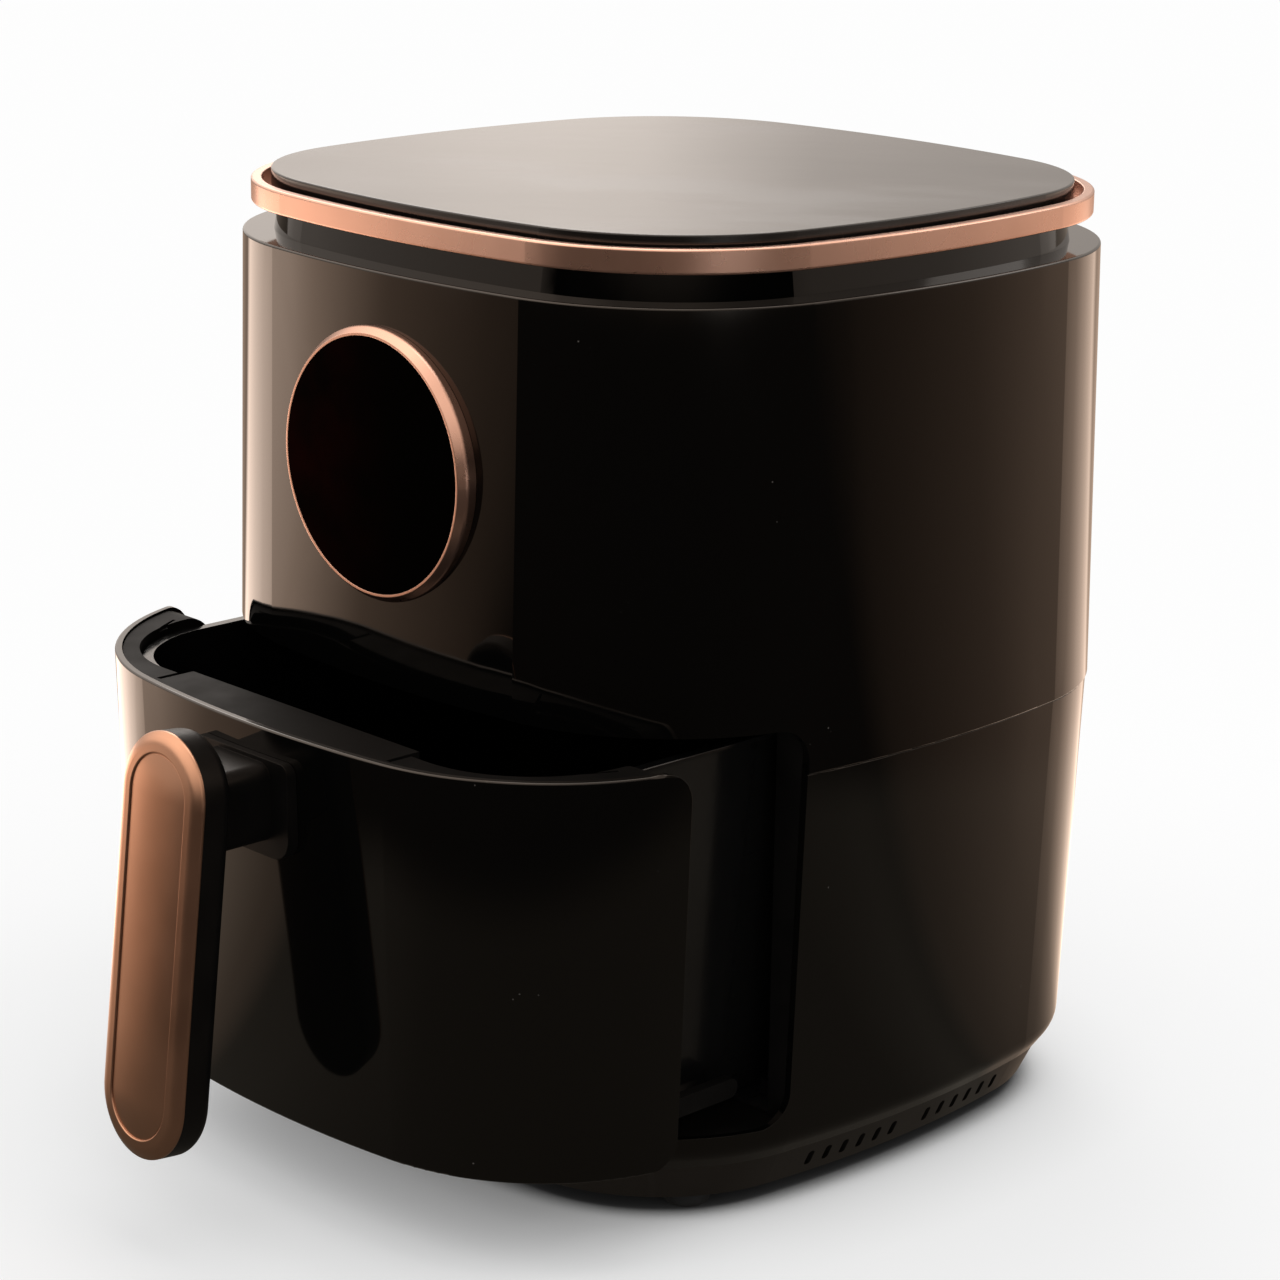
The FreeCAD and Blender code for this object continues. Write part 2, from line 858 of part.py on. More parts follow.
def chamber_frame():
    """Frame behind the drawer front with the deck that carries the heater and the motor."""
    low = opening_bottom - fit_gap - frame_wall
    inside = plan_taper((lower_offset(low) - housing_wall - fit_gap, low),
                        (upper_offset(deck_top) - housing_wall - fit_gap, deck_top))
    uprights = box((-REACH, REACH), (frame_front, frame_rear), (low, deck_top))
    deck = box((-REACH, REACH), (-REACH, REACH), (deck_bottom, deck_top))
    sill = box((-REACH, REACH), (-REACH, frame_rear), (low, low + frame_wall))
    frame = inside.common(join([uprights, deck, sill]))
    pan_way = box((-liner_half_width, liner_half_width), (frame_front - CUT_PAST, frame_rear + CUT_PAST),
                  (low + frame_wall, deck_bottom))
    frame = frame.cut(pan_way)
    frame = frame.cut(rod(heater_hole_radius, axis_point(0), axis_point(REACH)))
    for i in (-1, 0, 1):
        y = i * deck_slot_spread
        slot_x = liner_half_width + liner_wall
        slot = box((slot_x, slot_x + deck_slot_width), (y - deck_slot_length / 2, y + deck_slot_length / 2),
                   (deck_bottom - CUT_PAST, deck_top + CUT_PAST))
        frame = frame.cut(slot).cut(mirrored(slot))
    plunger_hole = rod(plunger_radius + plunger_clearance,
                       Vector(-switch_x, frame_front - CUT_PAST, switch_height),
                       Vector(-switch_x, frame_rear + CUT_PAST, switch_height))
    return frame.cut(plunger_hole)


def chamber_liner():
    radius = pan_corner_radius + liner_side_gap
    half = liner_half_width + liner_wall
    rear = liner_rear + liner_wall
    outer = plate([(-half, frame_rear), (half, frame_rear), (half, rear, radius + liner_wall),
                   (-half, rear, radius + liner_wall)], liner_floor - liner_wall, deck_bottom)
    front = frame_rear - CUT_PAST
    inner = plate([(-liner_half_width, front), (liner_half_width, front),
                   (liner_half_width, liner_rear, radius), (-liner_half_width, liner_rear, radius)],
                  liner_floor, deck_bottom + CUT_PAST)
    return outer.cut(inner)


def guide_rails():
    """Two skids that the pan's flat base slides on and two side rails for the drawer's tongues."""
    rail = box((liner_half_width - rail_width, liner_half_width),
               (frame_rear, pan_rear - pan_corner_radius - rail_rear_gap), (rail_top - rail_height, rail_top))
    skid = box((skid_x - skid_width / 2, skid_x + skid_width / 2),
               (frame_rear, liner_rear - skid_rear_gap), (liner_floor, pan_bottom - fit_gap))
    return Part.makeCompound([rail, mirrored(rail), skid, mirrored(skid)])


# Heater

def around(radius, angle, z):
    """Point on a circle about the fan's axis."""
    turn = math.radians(angle)
    return Vector(radius * math.cos(turn), fan_axis_y + radius * math.sin(turn), z)


def heater_guard():
    top = deck_top + guard_wall
    guard = rod(guard_radius, axis_point(deck_top), axis_point(top))
    guard = guard.cut(rod(guard_hub_hole_radius, axis_point(0), axis_point(REACH)))
    step = 360 / guard_slot_count
    half = guard_slot_width / 2
    below = deck_top - CUT_PAST
    above = top + CUT_PAST
    for ring, radius in enumerate(guard_ring_radii):
        for i in range(guard_slot_count):
            start = i * step + ring * step / 2 - guard_slot_span / 2
            run = arc_run(0, fan_axis_y, radius, start, guard_slot_span)
            guard = guard.cut(run([(-half, below), (half, below), (half, above), (-half, above)]))
    return guard


clip_bottom = deck_top + guard_wall
element_z = clip_bottom + clip_height + element_gap + element_radius


def element_clips():
    clips = []
    for angle in clip_angles:
        clip = box((clip_inner_radius, guard_radius), (-clip_wall / 2, clip_wall / 2),
                   (clip_bottom, clip_bottom + clip_height))
        clip.rotate(Vector(), UP, angle)
        clip.translate(Vector(0, fan_axis_y, 0))
        clips.append(clip)
    return Part.makeCompound(clips)


def element_path():
    """Two loops joined by a hairpin bend, both ends turned up through the dome."""
    def arc_edge(centre, start, middle, end):
        points = [centre + v for v in (start, middle, end)]
        return Part.Arc(*points).toShape()

    def loop(radius, start, span):
        thirds = []
        for i in range(3):
            angles = [start + span * (i + step) / 3 for step in (0, 0.5, 1)]
            thirds.append(Part.Arc(*[around(radius, angle, element_z) for angle in angles]).toShape())
        return thirds

    def rise(radius, angle, heading):
        turn = math.radians(angle)
        back = Vector(math.sin(turn), -math.cos(turn), 0) * heading
        foot = around(radius, angle, element_z)
        centre = foot + UP * element_bend
        middle = (back - UP).normalize()
        bend = arc_edge(centre, back * element_bend, middle * element_bend, -UP * element_bend)
        top = centre + back * element_bend
        return bend, Part.LineSegment(Vector(top.x, top.y, dome_top + element_stub), top).toShape()

    finish = element_start + element_span
    middle_radius = (element_outer_radius + element_inner_radius) / 2
    half_step = (element_outer_radius - element_inner_radius) / 2
    bend_out, stub_out = rise(element_outer_radius, element_start, 1)
    bend_in, stub_in = rise(element_inner_radius, element_start, 1)
    turn = math.radians(finish)
    onward = Vector(-math.sin(turn), math.cos(turn), 0)
    outward = Vector(math.cos(turn), math.sin(turn), 0)
    hairpin_centre = around(middle_radius, finish, element_z)
    hairpin = arc_edge(hairpin_centre, outward * half_step, onward * half_step, outward * -half_step)
    edges = [stub_out, bend_out] + loop(element_outer_radius, element_start, element_span) + [hairpin]
    edges += loop(element_inner_radius, finish, -element_span) + [bend_in, stub_in]
    return Part.Wire(Part.__sortEdges__(edges))


def element_ends():
    """Upper end points of the element's two legs."""
    turn = math.radians(element_start)
    back = Vector(math.sin(turn), -math.cos(turn), 0) * element_bend
    return [around(radius, element_start, dome_top + element_stub) + back
            for radius in (element_outer_radius, element_inner_radius)]


def heating_element():
    path = element_path()
    end = element_ends()[0]
    ring = Part.Wire(Part.makeCircle(element_radius, end, UP))
    return path.makePipeShell([ring], True, False)


def heater_dome():
    shell = turned([
        (dome_radius - dome_wall, deck_top),
        (dome_radius + dome_flange, deck_top),
        (dome_radius + dome_flange, deck_top + dome_wall),
        (dome_radius, deck_top + dome_wall),
        (dome_radius, dome_top, dome_edge_radius),
        (dome_shaft_hole_radius, dome_top),
        (dome_shaft_hole_radius, dome_top - dome_wall),
        (dome_radius - dome_wall, dome_top - dome_wall, dome_edge_radius - dome_wall),
    ], 0, fan_axis_y)
    for end in element_ends():
        foot = Vector(end.x, end.y, deck_top + dome_wall)
        shell = shell.cut(rod(element_radius + element_hole_gap, foot, end))
    inner = duct_half_width - duct_wall
    window = box((-inner, inner), (0, REACH), (duct_bottom + duct_wall, duct_top - duct_wall))
    return shell.cut(window)


def thermal_cutout():
    foot = around(dome_radius - cutout_inset, cutout_angle, dome_top)
    body = rod(cutout_radius, foot, foot + UP * cutout_height)
    terminals = box((foot.x - cutout_radius / 2, foot.x + cutout_radius / 2),
                    (foot.y - cutout_terminal / 2, foot.y + cutout_terminal / 2),
                    (dome_top + cutout_height, dome_top + 2 * cutout_height))
    return join([body, terminals])


# Exhaust

def grille_points(grow):
    half = grille_half_width + grow
    radius = grille_corner_radius + grow
    return [(-half, grille_bottom - grow, radius), (half, grille_bottom - grow, radius),
            (half, grille_top + grow, radius), (-half, grille_top + grow, radius)]


def grille_opening(grow):
    """Block through the rear wall on the grille's outline."""
    return front_block(grille_points(grow), 0, REACH)


def exhaust_grille():
    """Louvred plate that fills the rear window, with a flange behind the wall."""
    def wall_layer(outer, inner):
        return plan_ring([
            (upper_offset(seam_z) - outer, seam_z), (-outer, shoulder_z),
            (-inner, shoulder_z), (upper_offset(seam_z) - inner, seam_z),
        ])

    inside = housing_wall + screw_clearance
    plug = wall_layer(0, inside).common(grille_opening(0))
    flange = wall_layer(inside, inside + grille_flange_wall).common(grille_opening(grille_flange))
    grille = join([plug, flange])
    pitch = (grille_top - grille_bottom - 2 * louvre_margin) / louvre_count
    half = grille_half_width - louvre_margin
    for i in range(louvre_count):
        z = grille_bottom + louvre_margin + (i + 0.5) * pitch
        slot = front_block([(-half, z - louvre_height / 2), (half, z - louvre_height / 2),
                            (half, z + louvre_height / 2), (-half, z + louvre_height / 2)], 0, REACH)
        grille = grille.cut(slot)
    return grille


def exhaust_duct():
    inset = housing_wall + grille_flange_wall + fit_gap
    inner_wall = plan_taper((upper_offset(seam_z) - inset, seam_z), (-inset, shoulder_z))
    tube = box((-duct_half_width, duct_half_width), (0, REACH), (duct_bottom, duct_top))
    inner = duct_half_width - duct_wall
    tube = tube.cut(box((-inner, inner), (0, REACH), (duct_bottom + duct_wall, duct_top - duct_wall)))
    tube = tube.common(inner_wall)
    return tube.cut(rod(dome_radius + fit_gap, axis_point(0), axis_point(REACH)))


# Motor and fans

bracket_top = dome_top + bracket_height
stator_bottom = bracket_top + bearing_height
stator_top = stator_bottom + stator_height
shaft_top = stator_top + bearing_height + shaft_above_bearing
fan_plate_top = dome_top - dome_wall - fan_drop


def motor_bracket():
    """Bent strap: two feet on the dome, two legs and a bridge for the motor."""
    foot_end = bracket_half_length + bracket_foot
    strap = front_block([
        (-foot_end, dome_top), (-bracket_half_length + bracket_wall, dome_top),
        (-bracket_half_length + bracket_wall, bracket_top - bracket_wall),
        (bracket_half_length - bracket_wall, bracket_top - bracket_wall),
        (bracket_half_length - bracket_wall, dome_top), (foot_end, dome_top),
        (foot_end, dome_top + bracket_wall), (bracket_half_length, dome_top + bracket_wall),
        (bracket_half_length, bracket_top), (-bracket_half_length, bracket_top),
        (-bracket_half_length, dome_top + bracket_wall), (-foot_end, dome_top + bracket_wall),
    ], fan_axis_y - bracket_half_width, fan_axis_y + bracket_half_width)
    strap = strap.cut(rod(bracket_hole_radius, axis_point(dome_top + bracket_wall), axis_point(REACH)))
    return strap.cut(motor_screw_holes())


def motor_screw_holes():
    """Cuts for the two screws that clamp the motor to its bracket."""
    holes = []
    for x in (-motor_screw_x, motor_screw_x):
        foot = Vector(x, fan_axis_y, 0)
        holes.append(rod(screw_radius + screw_clearance, foot, foot + UP * REACH))
    return holes


def bearing_bridge(hub_bottom, tunnel_bottom):
    """Strap across the stator: a bearing in one half of its height, room for the rotor in the other."""
    half_height = bearing_height / 2
    bottom = min(hub_bottom, tunnel_bottom)
    bar = box((-bearing_half_length, bearing_half_length),
              (fan_axis_y - bearing_half_width, fan_axis_y + bearing_half_width),
              (bottom, bottom + bearing_height))
    tunnel = rod(rotor_radius + 2 * stator_bore_gap,
                 axis_point(tunnel_bottom), axis_point(tunnel_bottom + half_height))
    hub = rod(bearing_hub_radius, axis_point(hub_bottom), axis_point(hub_bottom + half_height))
    bridge = join([bar.cut(tunnel), hub])
    bridge = bridge.cut(rod(shaft_radius + shaft_clearance, axis_point(0), axis_point(REACH)))
    return bridge.cut(motor_screw_holes())


def lower_bearing():
    return bearing_bridge(bracket_top, bracket_top + bearing_height / 2)


def upper_bearing():
    return bearing_bridge(stator_top + bearing_height / 2, stator_top)


def motor_stator():
    """Laminated frame with the rotor's bore and a core bar behind for the coil."""
    block = plate(rounded_points(stator_half_width, fan_axis_y - stator_front, fan_axis_y + stator_back,
                                 stator_corner_radius), stator_bottom, stator_top)
    window = box((-stator_window_half_width, stator_window_half_width),
                 (fan_axis_y + stator_window_front, fan_axis_y + stator_back - stator_core_depth),
                 (stator_bottom - CUT_PAST, stator_top + CUT_PAST))
    stator = block.cut(window)
    stator = stator.cut(rod(rotor_radius + stator_bore_gap, axis_point(0), axis_point(REACH)))
    return stator.cut(motor_screw_holes())


def motor_coil():
    """Winding round the stator's core bar."""
    core_front = fan_axis_y + stator_back - stator_core_depth
    core_rear = fan_axis_y + stator_back
    half = stator_window_half_width - coil_gap
    front = core_front - coil_wall
    rear = core_rear + coil_wall
    low = stator_bottom - coil_wall
    high = stator_top + coil_wall
    corners = [(front, low), (rear, low), (rear, high), (front, high)]
    outer = side_block([(y, z, coil_corner_radius) for y, z in corners], -half, half)
    core = box((-REACH, REACH), (core_front - coil_gap, core_rear + coil_gap),
               (stator_bottom - coil_gap, stator_top + coil_gap))
    return outer.cut(core)


def motor_screws():
    head = stator_top + bearing_height + screw_head_height
    tip = bracket_top - bracket_wall
    return Part.makeCompound([screw(Vector(x, fan_axis_y, head), Vector(x, fan_axis_y, tip))
                              for x in (-motor_screw_x, motor_screw_x)])


def motor_shaft():
    low = fan_plate_top - fan_hub_height - shaft_below_fan
    return rod(shaft_radius, axis_point(low), axis_point(shaft_top))


def motor_rotor():
    core = rod(rotor_radius, axis_point(stator_bottom), axis_point(stator_top))
    return core.cut(rod(shaft_radius + hub_clearance, axis_point(0), axis_point(REACH)))


def hot_air_fan():
    """Radial impeller: a plate, a hub and upright blades bent down from the plate."""
    plate_bottom = fan_plate_top - fan_plate
    parts = [rod(fan_radius, axis_point(plate_bottom), axis_point(fan_plate_top)),
             rod(fan_hub_radius, axis_point(plate_bottom - fan_hub_height), axis_point(plate_bottom))]
    for i in range(fan_blade_count):
        blade = box((fan_blade_inner, fan_radius), (-fan_blade_wall / 2, fan_blade_wall / 2),
                    (plate_bottom - fan_blade_height, plate_bottom))
        blade.rotate(Vector(fan_blade_inner, 0, 0), UP, fan_blade_sweep)
        blade.rotate(Vector(), UP, i * 360 / fan_blade_count)
        blade.translate(Vector(0, fan_axis_y, 0))
        rim = rod(fan_radius, axis_point(plate_bottom - fan_blade_height), axis_point(plate_bottom))
        parts.append(blade.common(rim))
    fan = join(parts)
    return fan.cut(rod(shaft_radius + hub_clearance, axis_point(0), axis_point(REACH)))


def cooling_fan():
    """Axial fan with pitched blades above the dome."""
    bottom = dome_top + cooling_fan_gap
    top = bottom + cooling_fan_height
    parts = [rod(cooling_hub_radius, axis_point(bottom), axis_point(top))]
    for i in range(cooling_blade_count):
        blade = box((fan_hub_radius, cooling_fan_radius), (-cooling_fan_height, cooling_fan_height),
                    (-fan_blade_wall / 2, fan_blade_wall / 2))
        blade.rotate(Vector(), Vector(1, 0, 0), cooling_blade_pitch)
        blade.rotate(Vector(), UP, i * 360 / cooling_blade_count)
        blade.translate(axis_point((bottom + top) / 2))
        disc_space = rod(cooling_fan_radius, axis_point(bottom), axis_point(top))
        parts.append(blade.common(disc_space))
    fan = join(parts)
    return fan.cut(rod(shaft_radius + hub_clearance, axis_point(0), axis_point(REACH)))


# Electronics, safety switch and cord inlet

def board_places():
    """Y and Z of the four board posts."""
    y_low = board_mid_y - board_half_length + board_post_inset
    y_high = board_mid_y + board_half_length - board_post_inset
    heights = (board_bottom + board_post_inset, board_top - board_post_inset)
    return [(y, z) for y in (y_low, y_high) for z in heights]


def board_bracket():
    """Bent plate on the deck that holds the power board upright."""
    ends = (board_mid_y - board_half_length, board_mid_y + board_half_length)
    face = -board_bracket_x
    upright = box((face, face + board_bracket_wall), ends, (deck_top, board_top))
    foot = box((face - board_bracket_foot, face), ends, (deck_top, deck_top + board_bracket_wall))
    posts = [rod(board_post_radius, Vector(face, y, z), Vector(face - board_post_length, y, z))
             for y, z in board_places()]
    return join([upright, foot] + posts)


def power_board():
    """Circuit board with its relay, terminal block and capacitors."""
    inner = -board_bracket_x - board_post_length
    outer = inner - board_wall
    depth = (outer - component_height, outer)
    front = board_mid_y - board_half_length
    middle = board_bottom + component_rise
    board = box((outer, inner), (front, front + 2 * board_half_length), (board_bottom, board_top))
    relay = box(depth, (front + relay_offset, front + relay_offset + relay_length),
                (middle - relay_height / 2, middle + relay_height / 2))
    terminals = box(depth, (front + terminal_offset, front + terminal_offset + terminal_length),
                    (board_top - terminal_drop - terminal_height, board_top - terminal_drop))
    parts = [board, relay, terminals]
    for i in range(capacitor_count):
        y = front + capacitor_offset + capacitor_pitch * i
        parts.append(rod(capacitor_radius, Vector(depth[1], y, middle), Vector(depth[0], y, middle)))
    return join(parts)


plunger_tip = shell_rear_y + plunger_stop_gap
switch_wall = corner_reach(opening_edge, lower_offset(switch_height) - housing_wall)
switch_x = (liner_half_width + liner_wall + switch_wall) / 2


def door_switch():
    """Safety switch behind the frame, with the plunger's guide hole."""
    half = switch_width / 2
    low = switch_height - switch_length / 2
    body = box((-switch_x - half, -switch_x + half), (frame_rear, frame_rear + switch_depth),
               (low, low + switch_length))
    bottom = frame_rear + plunger_inside + plunger_travel + 2 * plunger_stop_gap
    hole = rod(plunger_radius + plunger_clearance,
               Vector(-switch_x, frame_rear, switch_height), Vector(-switch_x, bottom, switch_height))
    return body.cut(hole)


def switch_plunger():
    return rod(plunger_radius, Vector(-switch_x, plunger_tip, switch_height),
               Vector(-switch_x, frame_rear + plunger_inside, switch_height))


def cord_gland():
    """Bushing in the rear wall for the mains lead."""
    wall = side_reach(gland_x, lower_offset(gland_height))
    outer = wall + gland_flange
    inner = wall - gland_depth

    def bar(radius, start, end):
        return rod(radius, Vector(gland_x, start, gland_height), Vector(gland_x, end, gland_height))

    skin = plan_taper((lower_offset(base_top) + screw_clearance, base_top),
                      (lower_offset(seam_z) + screw_clearance, seam_z))
    flange = bar(gland_flange_radius, inner, outer).cut(skin)
    bushing = join([flange, bar(gland_radius, inner, outer)])
    return bushing.cut(bar(gland_bore_radius, 0, REACH))


# Drawer

def front_offset(z):
    """Plan offset of the drawer front's outer face."""
    low = lower_offset(opening_bottom) + front_proud
    high = upper_offset(opening_top) + front_proud
    return low + (high - low) * (z - opening_bottom) / (opening_top - opening_bottom)


def drawer_zone(rear, bottom, top, radius):
    """Space in front of an upright plane, with rounded corners at that plane."""
    corners = [(-REACH, bottom), (rear, bottom, radius), (rear, top, radius), (-REACH, top)]
    return side_block(corners, -REACH, REACH)


def handle_screw_axis(z):
    """Point on the outer face of the drawer front, in the middle."""
    return Vector(0, -body_half_width - front_offset(z), z)


def drawer_front():
    """Gloss skin of the drawer that wraps round both front corners."""
    top = front_offset(front_top)
    bottom = front_offset(front_bottom)
    skin = plan_ring([(top, front_top, front_edge_radius), (bottom, front_bottom, front_edge_radius),
                      (bottom - front_wall, front_bottom), (top - front_wall, front_top)])
    radius = opening_radius - front_gap
    skin = skin.common(drawer_zone(front_edge_y, front_bottom, front_top, radius))
    for z in handle_screw_heights:
        centre = handle_screw_axis(z)
        outside = centre - Vector(0, REACH, 0)
        skin = skin.cut(rod(screw_radius + screw_clearance, outside, centre + Vector(0, 2 * front_wall, 0)))
    return skin


def pan_zone(grow, bottom, top):
    """Upright block on the pan's rim outline, grown by an amount."""
    points = rounded_points(pan_half_width + grow, -pan_front - grow, pan_rear + grow,
                            pan_corner_radius + grow)
    return plate(points, bottom, top)


def drawer_inner():
    """Matte shell between the skin and the pan: top trim, floor, rear strips and runner tongues."""
    low = front_bottom + front_lip
    inset = front_wall + fit_gap
    rim_gap = pan_rim_out + shell_pan_gap
    body = plan_taper((front_offset(low) - inset, low), (front_offset(trim_top) - inset, trim_top))
    radius = opening_radius - front_gap
    body = body.common(drawer_zone(shell_rear_y, low, trim_top, radius))
    body = body.cut(pan_zone(rim_gap, 0, REACH))
    hollow = drawer_zone(shell_rear_y - shell_wall, low + shell_wall, trim_top - shell_wall, radius)
    hollow = hollow.cut(pan_zone(rim_gap + shell_wall, 0, REACH))
    body = body.cut(hollow)
    tab_front = -pan_front - rim_gap - shell_wall
    tab = box((-front_tab_half_width, front_tab_half_width),
              (tab_front, -pan_front + pan_wall + fit_gap), (pan_rim_z + fit_gap, trim_top))
    bar_bottom = rail_top + fit_gap
    bar_inner = liner_half_width - fit_gap * 2 - tongue_bar_width
    bar_end = tongue_bar_height / 2 - fit_gap
    bar_top = bar_bottom + tongue_bar_height
    bar_front = shell_rear_y - tongue_bar_root
    bar_rear = shell_rear_y + tongue_bar_length
    bar = side_block([(bar_front, bar_bottom), (bar_rear, bar_bottom, bar_end),
                      (bar_rear, bar_top, bar_end), (bar_front, bar_top)],
                     bar_inner, bar_inner + tongue_bar_width)
    boss_face = -pan_front - rim_gap
    bosses = []
    screw_holes = []
    for x in (-pan_screw_x, pan_screw_x):
        seat = Vector(x, boss_face, pan_screw_height)
        bosses.append(rod(pan_screw_boss_radius, seat - Vector(0, pan_screw_boss_length, 0), seat))
        hole_end = seat - Vector(0, pan_screw_depth + screw_tip_gap, 0)
        screw_holes.append(rod(screw_radius + screw_clearance, hole_end, seat + Vector(0, CUT_PAST, 0)))
    body = join([body, tab, bar, mirrored(bar)] + bosses).cut(screw_holes)
    slit_outer = front_tab_half_width + slit_width
    slit_front = -side_reach(slit_outer, front_offset(trim_top) - inset) + slit_margin
    slit = box((front_tab_half_width, slit_outer), (slit_front, 0), (trim_top - shell_wall, REACH))
    body = body.cut(slit).cut(mirrored(slit))
    outer = front_offset(trim_top) - groove_inset
    inner = outer - groove_width
    corner_run = arc_run(corner_centre, -corner_centre, corner_arc_radius,
                         -groove_end, groove_end - groove_start)
    groove = corner_run([(inner, trim_top - groove_depth), (outer, trim_top - groove_depth),
                         (outer, trim_top + CUT_PAST), (inner, trim_top + CUT_PAST)])
    return body.cut(groove).cut(mirrored(groove))


def frying_pan():
    """Deep drawn pan with sloping walls, a rounded foot and a turned-out rim."""
    inner_foot = pan_base_radius - pan_wall
    band = -pan_draft - pan_base_band
    rim_under = pan_rim_z - pan_rim_height
    wall = carry([
        (pan_rim_out, pan_rim_z, pan_rim_height / 4), (-pan_wall, pan_rim_z),
        (-pan_draft - pan_wall, pan_floor_z, inner_foot), (band, pan_floor_z), (band, pan_bottom),
        (-pan_draft, pan_bottom, pan_base_radius), (0, rim_under),
        (pan_rim_out, rim_under, pan_rim_height / 4),
    ], rounded_path(pan_half_width, -pan_front, pan_rear, pan_corner_radius))
    pan = join([wall, pan_zone(band, pan_bottom, pan_floor_z)])
    for x in (-pan_screw_x, pan_screw_x):
        hole = rod(screw_radius + screw_clearance,
                   Vector(x, -REACH, pan_screw_height), Vector(x, 0, pan_screw_height))
        pan = pan.cut(hole)
    return pan


def pan_screws():
    inset = pan_draft * (pan_rim_z - pan_screw_height) / pan_height
    head = -pan_front + inset + pan_wall + fit_gap + screw_head_height
    tip = -pan_front - pan_rim_out - shell_pan_gap - pan_screw_depth
    return Part.makeCompound([screw(Vector(x, head, pan_screw_height), Vector(x, tip, pan_screw_height))
                              for x in (-pan_screw_x, pan_screw_x)])


# Handle

def handle_place(shape):
    """Tilt a shape built about the handle's front middle and put it in front of the drawer."""
    shape.rotate(Vector(), Vector(1, 0, 0), -handle_tilt)
    shape.translate(handle_screw_axis(handle_mid_height) - Vector(0, handle_reach, 0))
    return shape


def long_round(section):
    """Round-ended bar facing the front: a half section of (out, depth, corner radius) points."""
    half = (handle_length - handle_width) / 2
    face = Part.Face(outline(section, lambda out, depth: Vector(out, depth, 0)))
    side = face.extrude(Vector(0, 0, 2 * half))
    side.translate(UP * -half)
    low_end = face.revolve(Vector(), Vector(0, 1, 0), 180)
    high_end = low_end.mirror(Vector(), UP)
    low_end.translate(UP * -half)
    high_end.translate(UP * half)
    return join([side, mirrored(side), low_end, high_end])


def handle_cover():
    """Plated front of the handle: a crowned border round a slightly sunk panel."""
    edge = handle_width / 2
    panel = edge - handle_border_width
    return handle_place(long_round([
        (0, handle_recess_depth),
        (panel, handle_recess_depth),
        (panel, 0, handle_recess_radius),
        (panel + handle_crown_width, handle_crown_fall, handle_crown_radius),
        (edge, handle_border_fall, handle_cover_radius),
        (edge, handle_cover_depth),
        (0, handle_cover_depth),
    ]))


def handle_grip():
    edge = handle_width / 2
    return handle_place(long_round([
        (0, handle_cover_depth), (edge, handle_cover_depth),
        (edge, handle_depth, handle_back_radius), (0, handle_depth),
    ]))


def handle_stem():
    """Arm from the drawer front to the grip, spread into a flange on the drawer front."""
    face = handle_screw_axis(flange_bottom).y
    front = face - 2 * handle_reach
    rear = face + 2 * flange_thickness
    arm = front_block([
        (-stem_half_width, stem_bottom, stem_radius), (stem_half_width, stem_bottom, stem_radius),
        (stem_half_width, stem_top, stem_radius), (-stem_half_width, stem_top, stem_radius),
    ], front, rear)
    flange = front_block([
        (-flange_half_width, flange_bottom, flange_radius), (flange_half_width, flange_bottom, flange_radius),
        (flange_half_width, flange_top, flange_radius / 2),
        (-flange_half_width, flange_top, flange_radius / 2),
    ], face - flange_thickness, rear)
    skin = plan_taper((front_offset(front_bottom) + screw_clearance, front_bottom),
                      (front_offset(front_top) + screw_clearance, front_top))
    grip_side = handle_place(box((-REACH, REACH), (-REACH, handle_depth), (-REACH, REACH)))
    stem = join([arm, flange]).cut(skin).cut(grip_side)
    for z in handle_screw_heights:
        centre = handle_screw_axis(z)
        hole_end = centre - Vector(0, handle_screw_length + screw_tip_gap, 0)
        stem = stem.cut(rod(screw_radius + screw_clearance, centre + Vector(0, CUT_PAST, 0), hole_end))
    return stem


def handle_screws():
    screws = []
    for z in handle_screw_heights:
        centre = handle_screw_axis(z)
        head = centre + Vector(0, front_wall + fit_gap + screw_head_height, 0)
        screws.append(screw(head, centre - Vector(0, handle_screw_length, 0)))
    return Part.makeCompound(screws)


# Crisper plate

crisper_z = pan_floor_z + crisper_leg_height


def crisper_half_width():
    """Half width of the plate, inside the pan's sloping walls at the plate's height."""
    slope = pan_draft * (pan_rim_z - crisper_z) / pan_height
    return pan_half_width - slope - pan_wall - crisper_side_gap


def crisper_ends():
    """Front and rear of the plate."""
    slope = pan_half_width - crisper_half_width()
    return -pan_front + slope, pan_rear - slope


def crisper_plate():
    """Perforated plate with a turned-up rim on four legs."""
    half = crisper_half_width()
    front, rear = crisper_ends()
    top = crisper_z + crisper_rim_height
    outer = plate(rounded_points(half, front, rear, crisper_corner_radius), crisper_z, top)
    wall = crisper_plate_wall
    hollow = plate(rounded_points(half - wall, front + wall, rear - wall, crisper_corner_radius - wall),
                   crisper_z + wall, top + CUT_PAST)
    middle_y = (front + rear) / 2
    legs = [rod(crisper_leg_radius, Vector(x, middle_y + y, pan_floor_z), Vector(x, middle_y + y, crisper_z))
            for x, y in four(crisper_leg_x, crisper_leg_y)]
    tray = join([outer.cut(hollow)] + legs)
    steps = [(i - (crisper_hole_count - 1) / 2) * crisper_hole_pitch for i in range(crisper_hole_count)]
    clear = crisper_leg_radius + crisper_hole_radius + wall
    leg_places = four(crisper_leg_x, crisper_leg_y)
    for x in steps:
        for y in steps:
            if all(math.hypot(x - leg_x, y - leg_y) > clear for leg_x, leg_y in leg_places):
                foot = Vector(x, middle_y + y, crisper_z - CUT_PAST)
                tray = tray.cut(rod(crisper_hole_radius, foot, Vector(foot.x, foot.y, top)))
    return tray


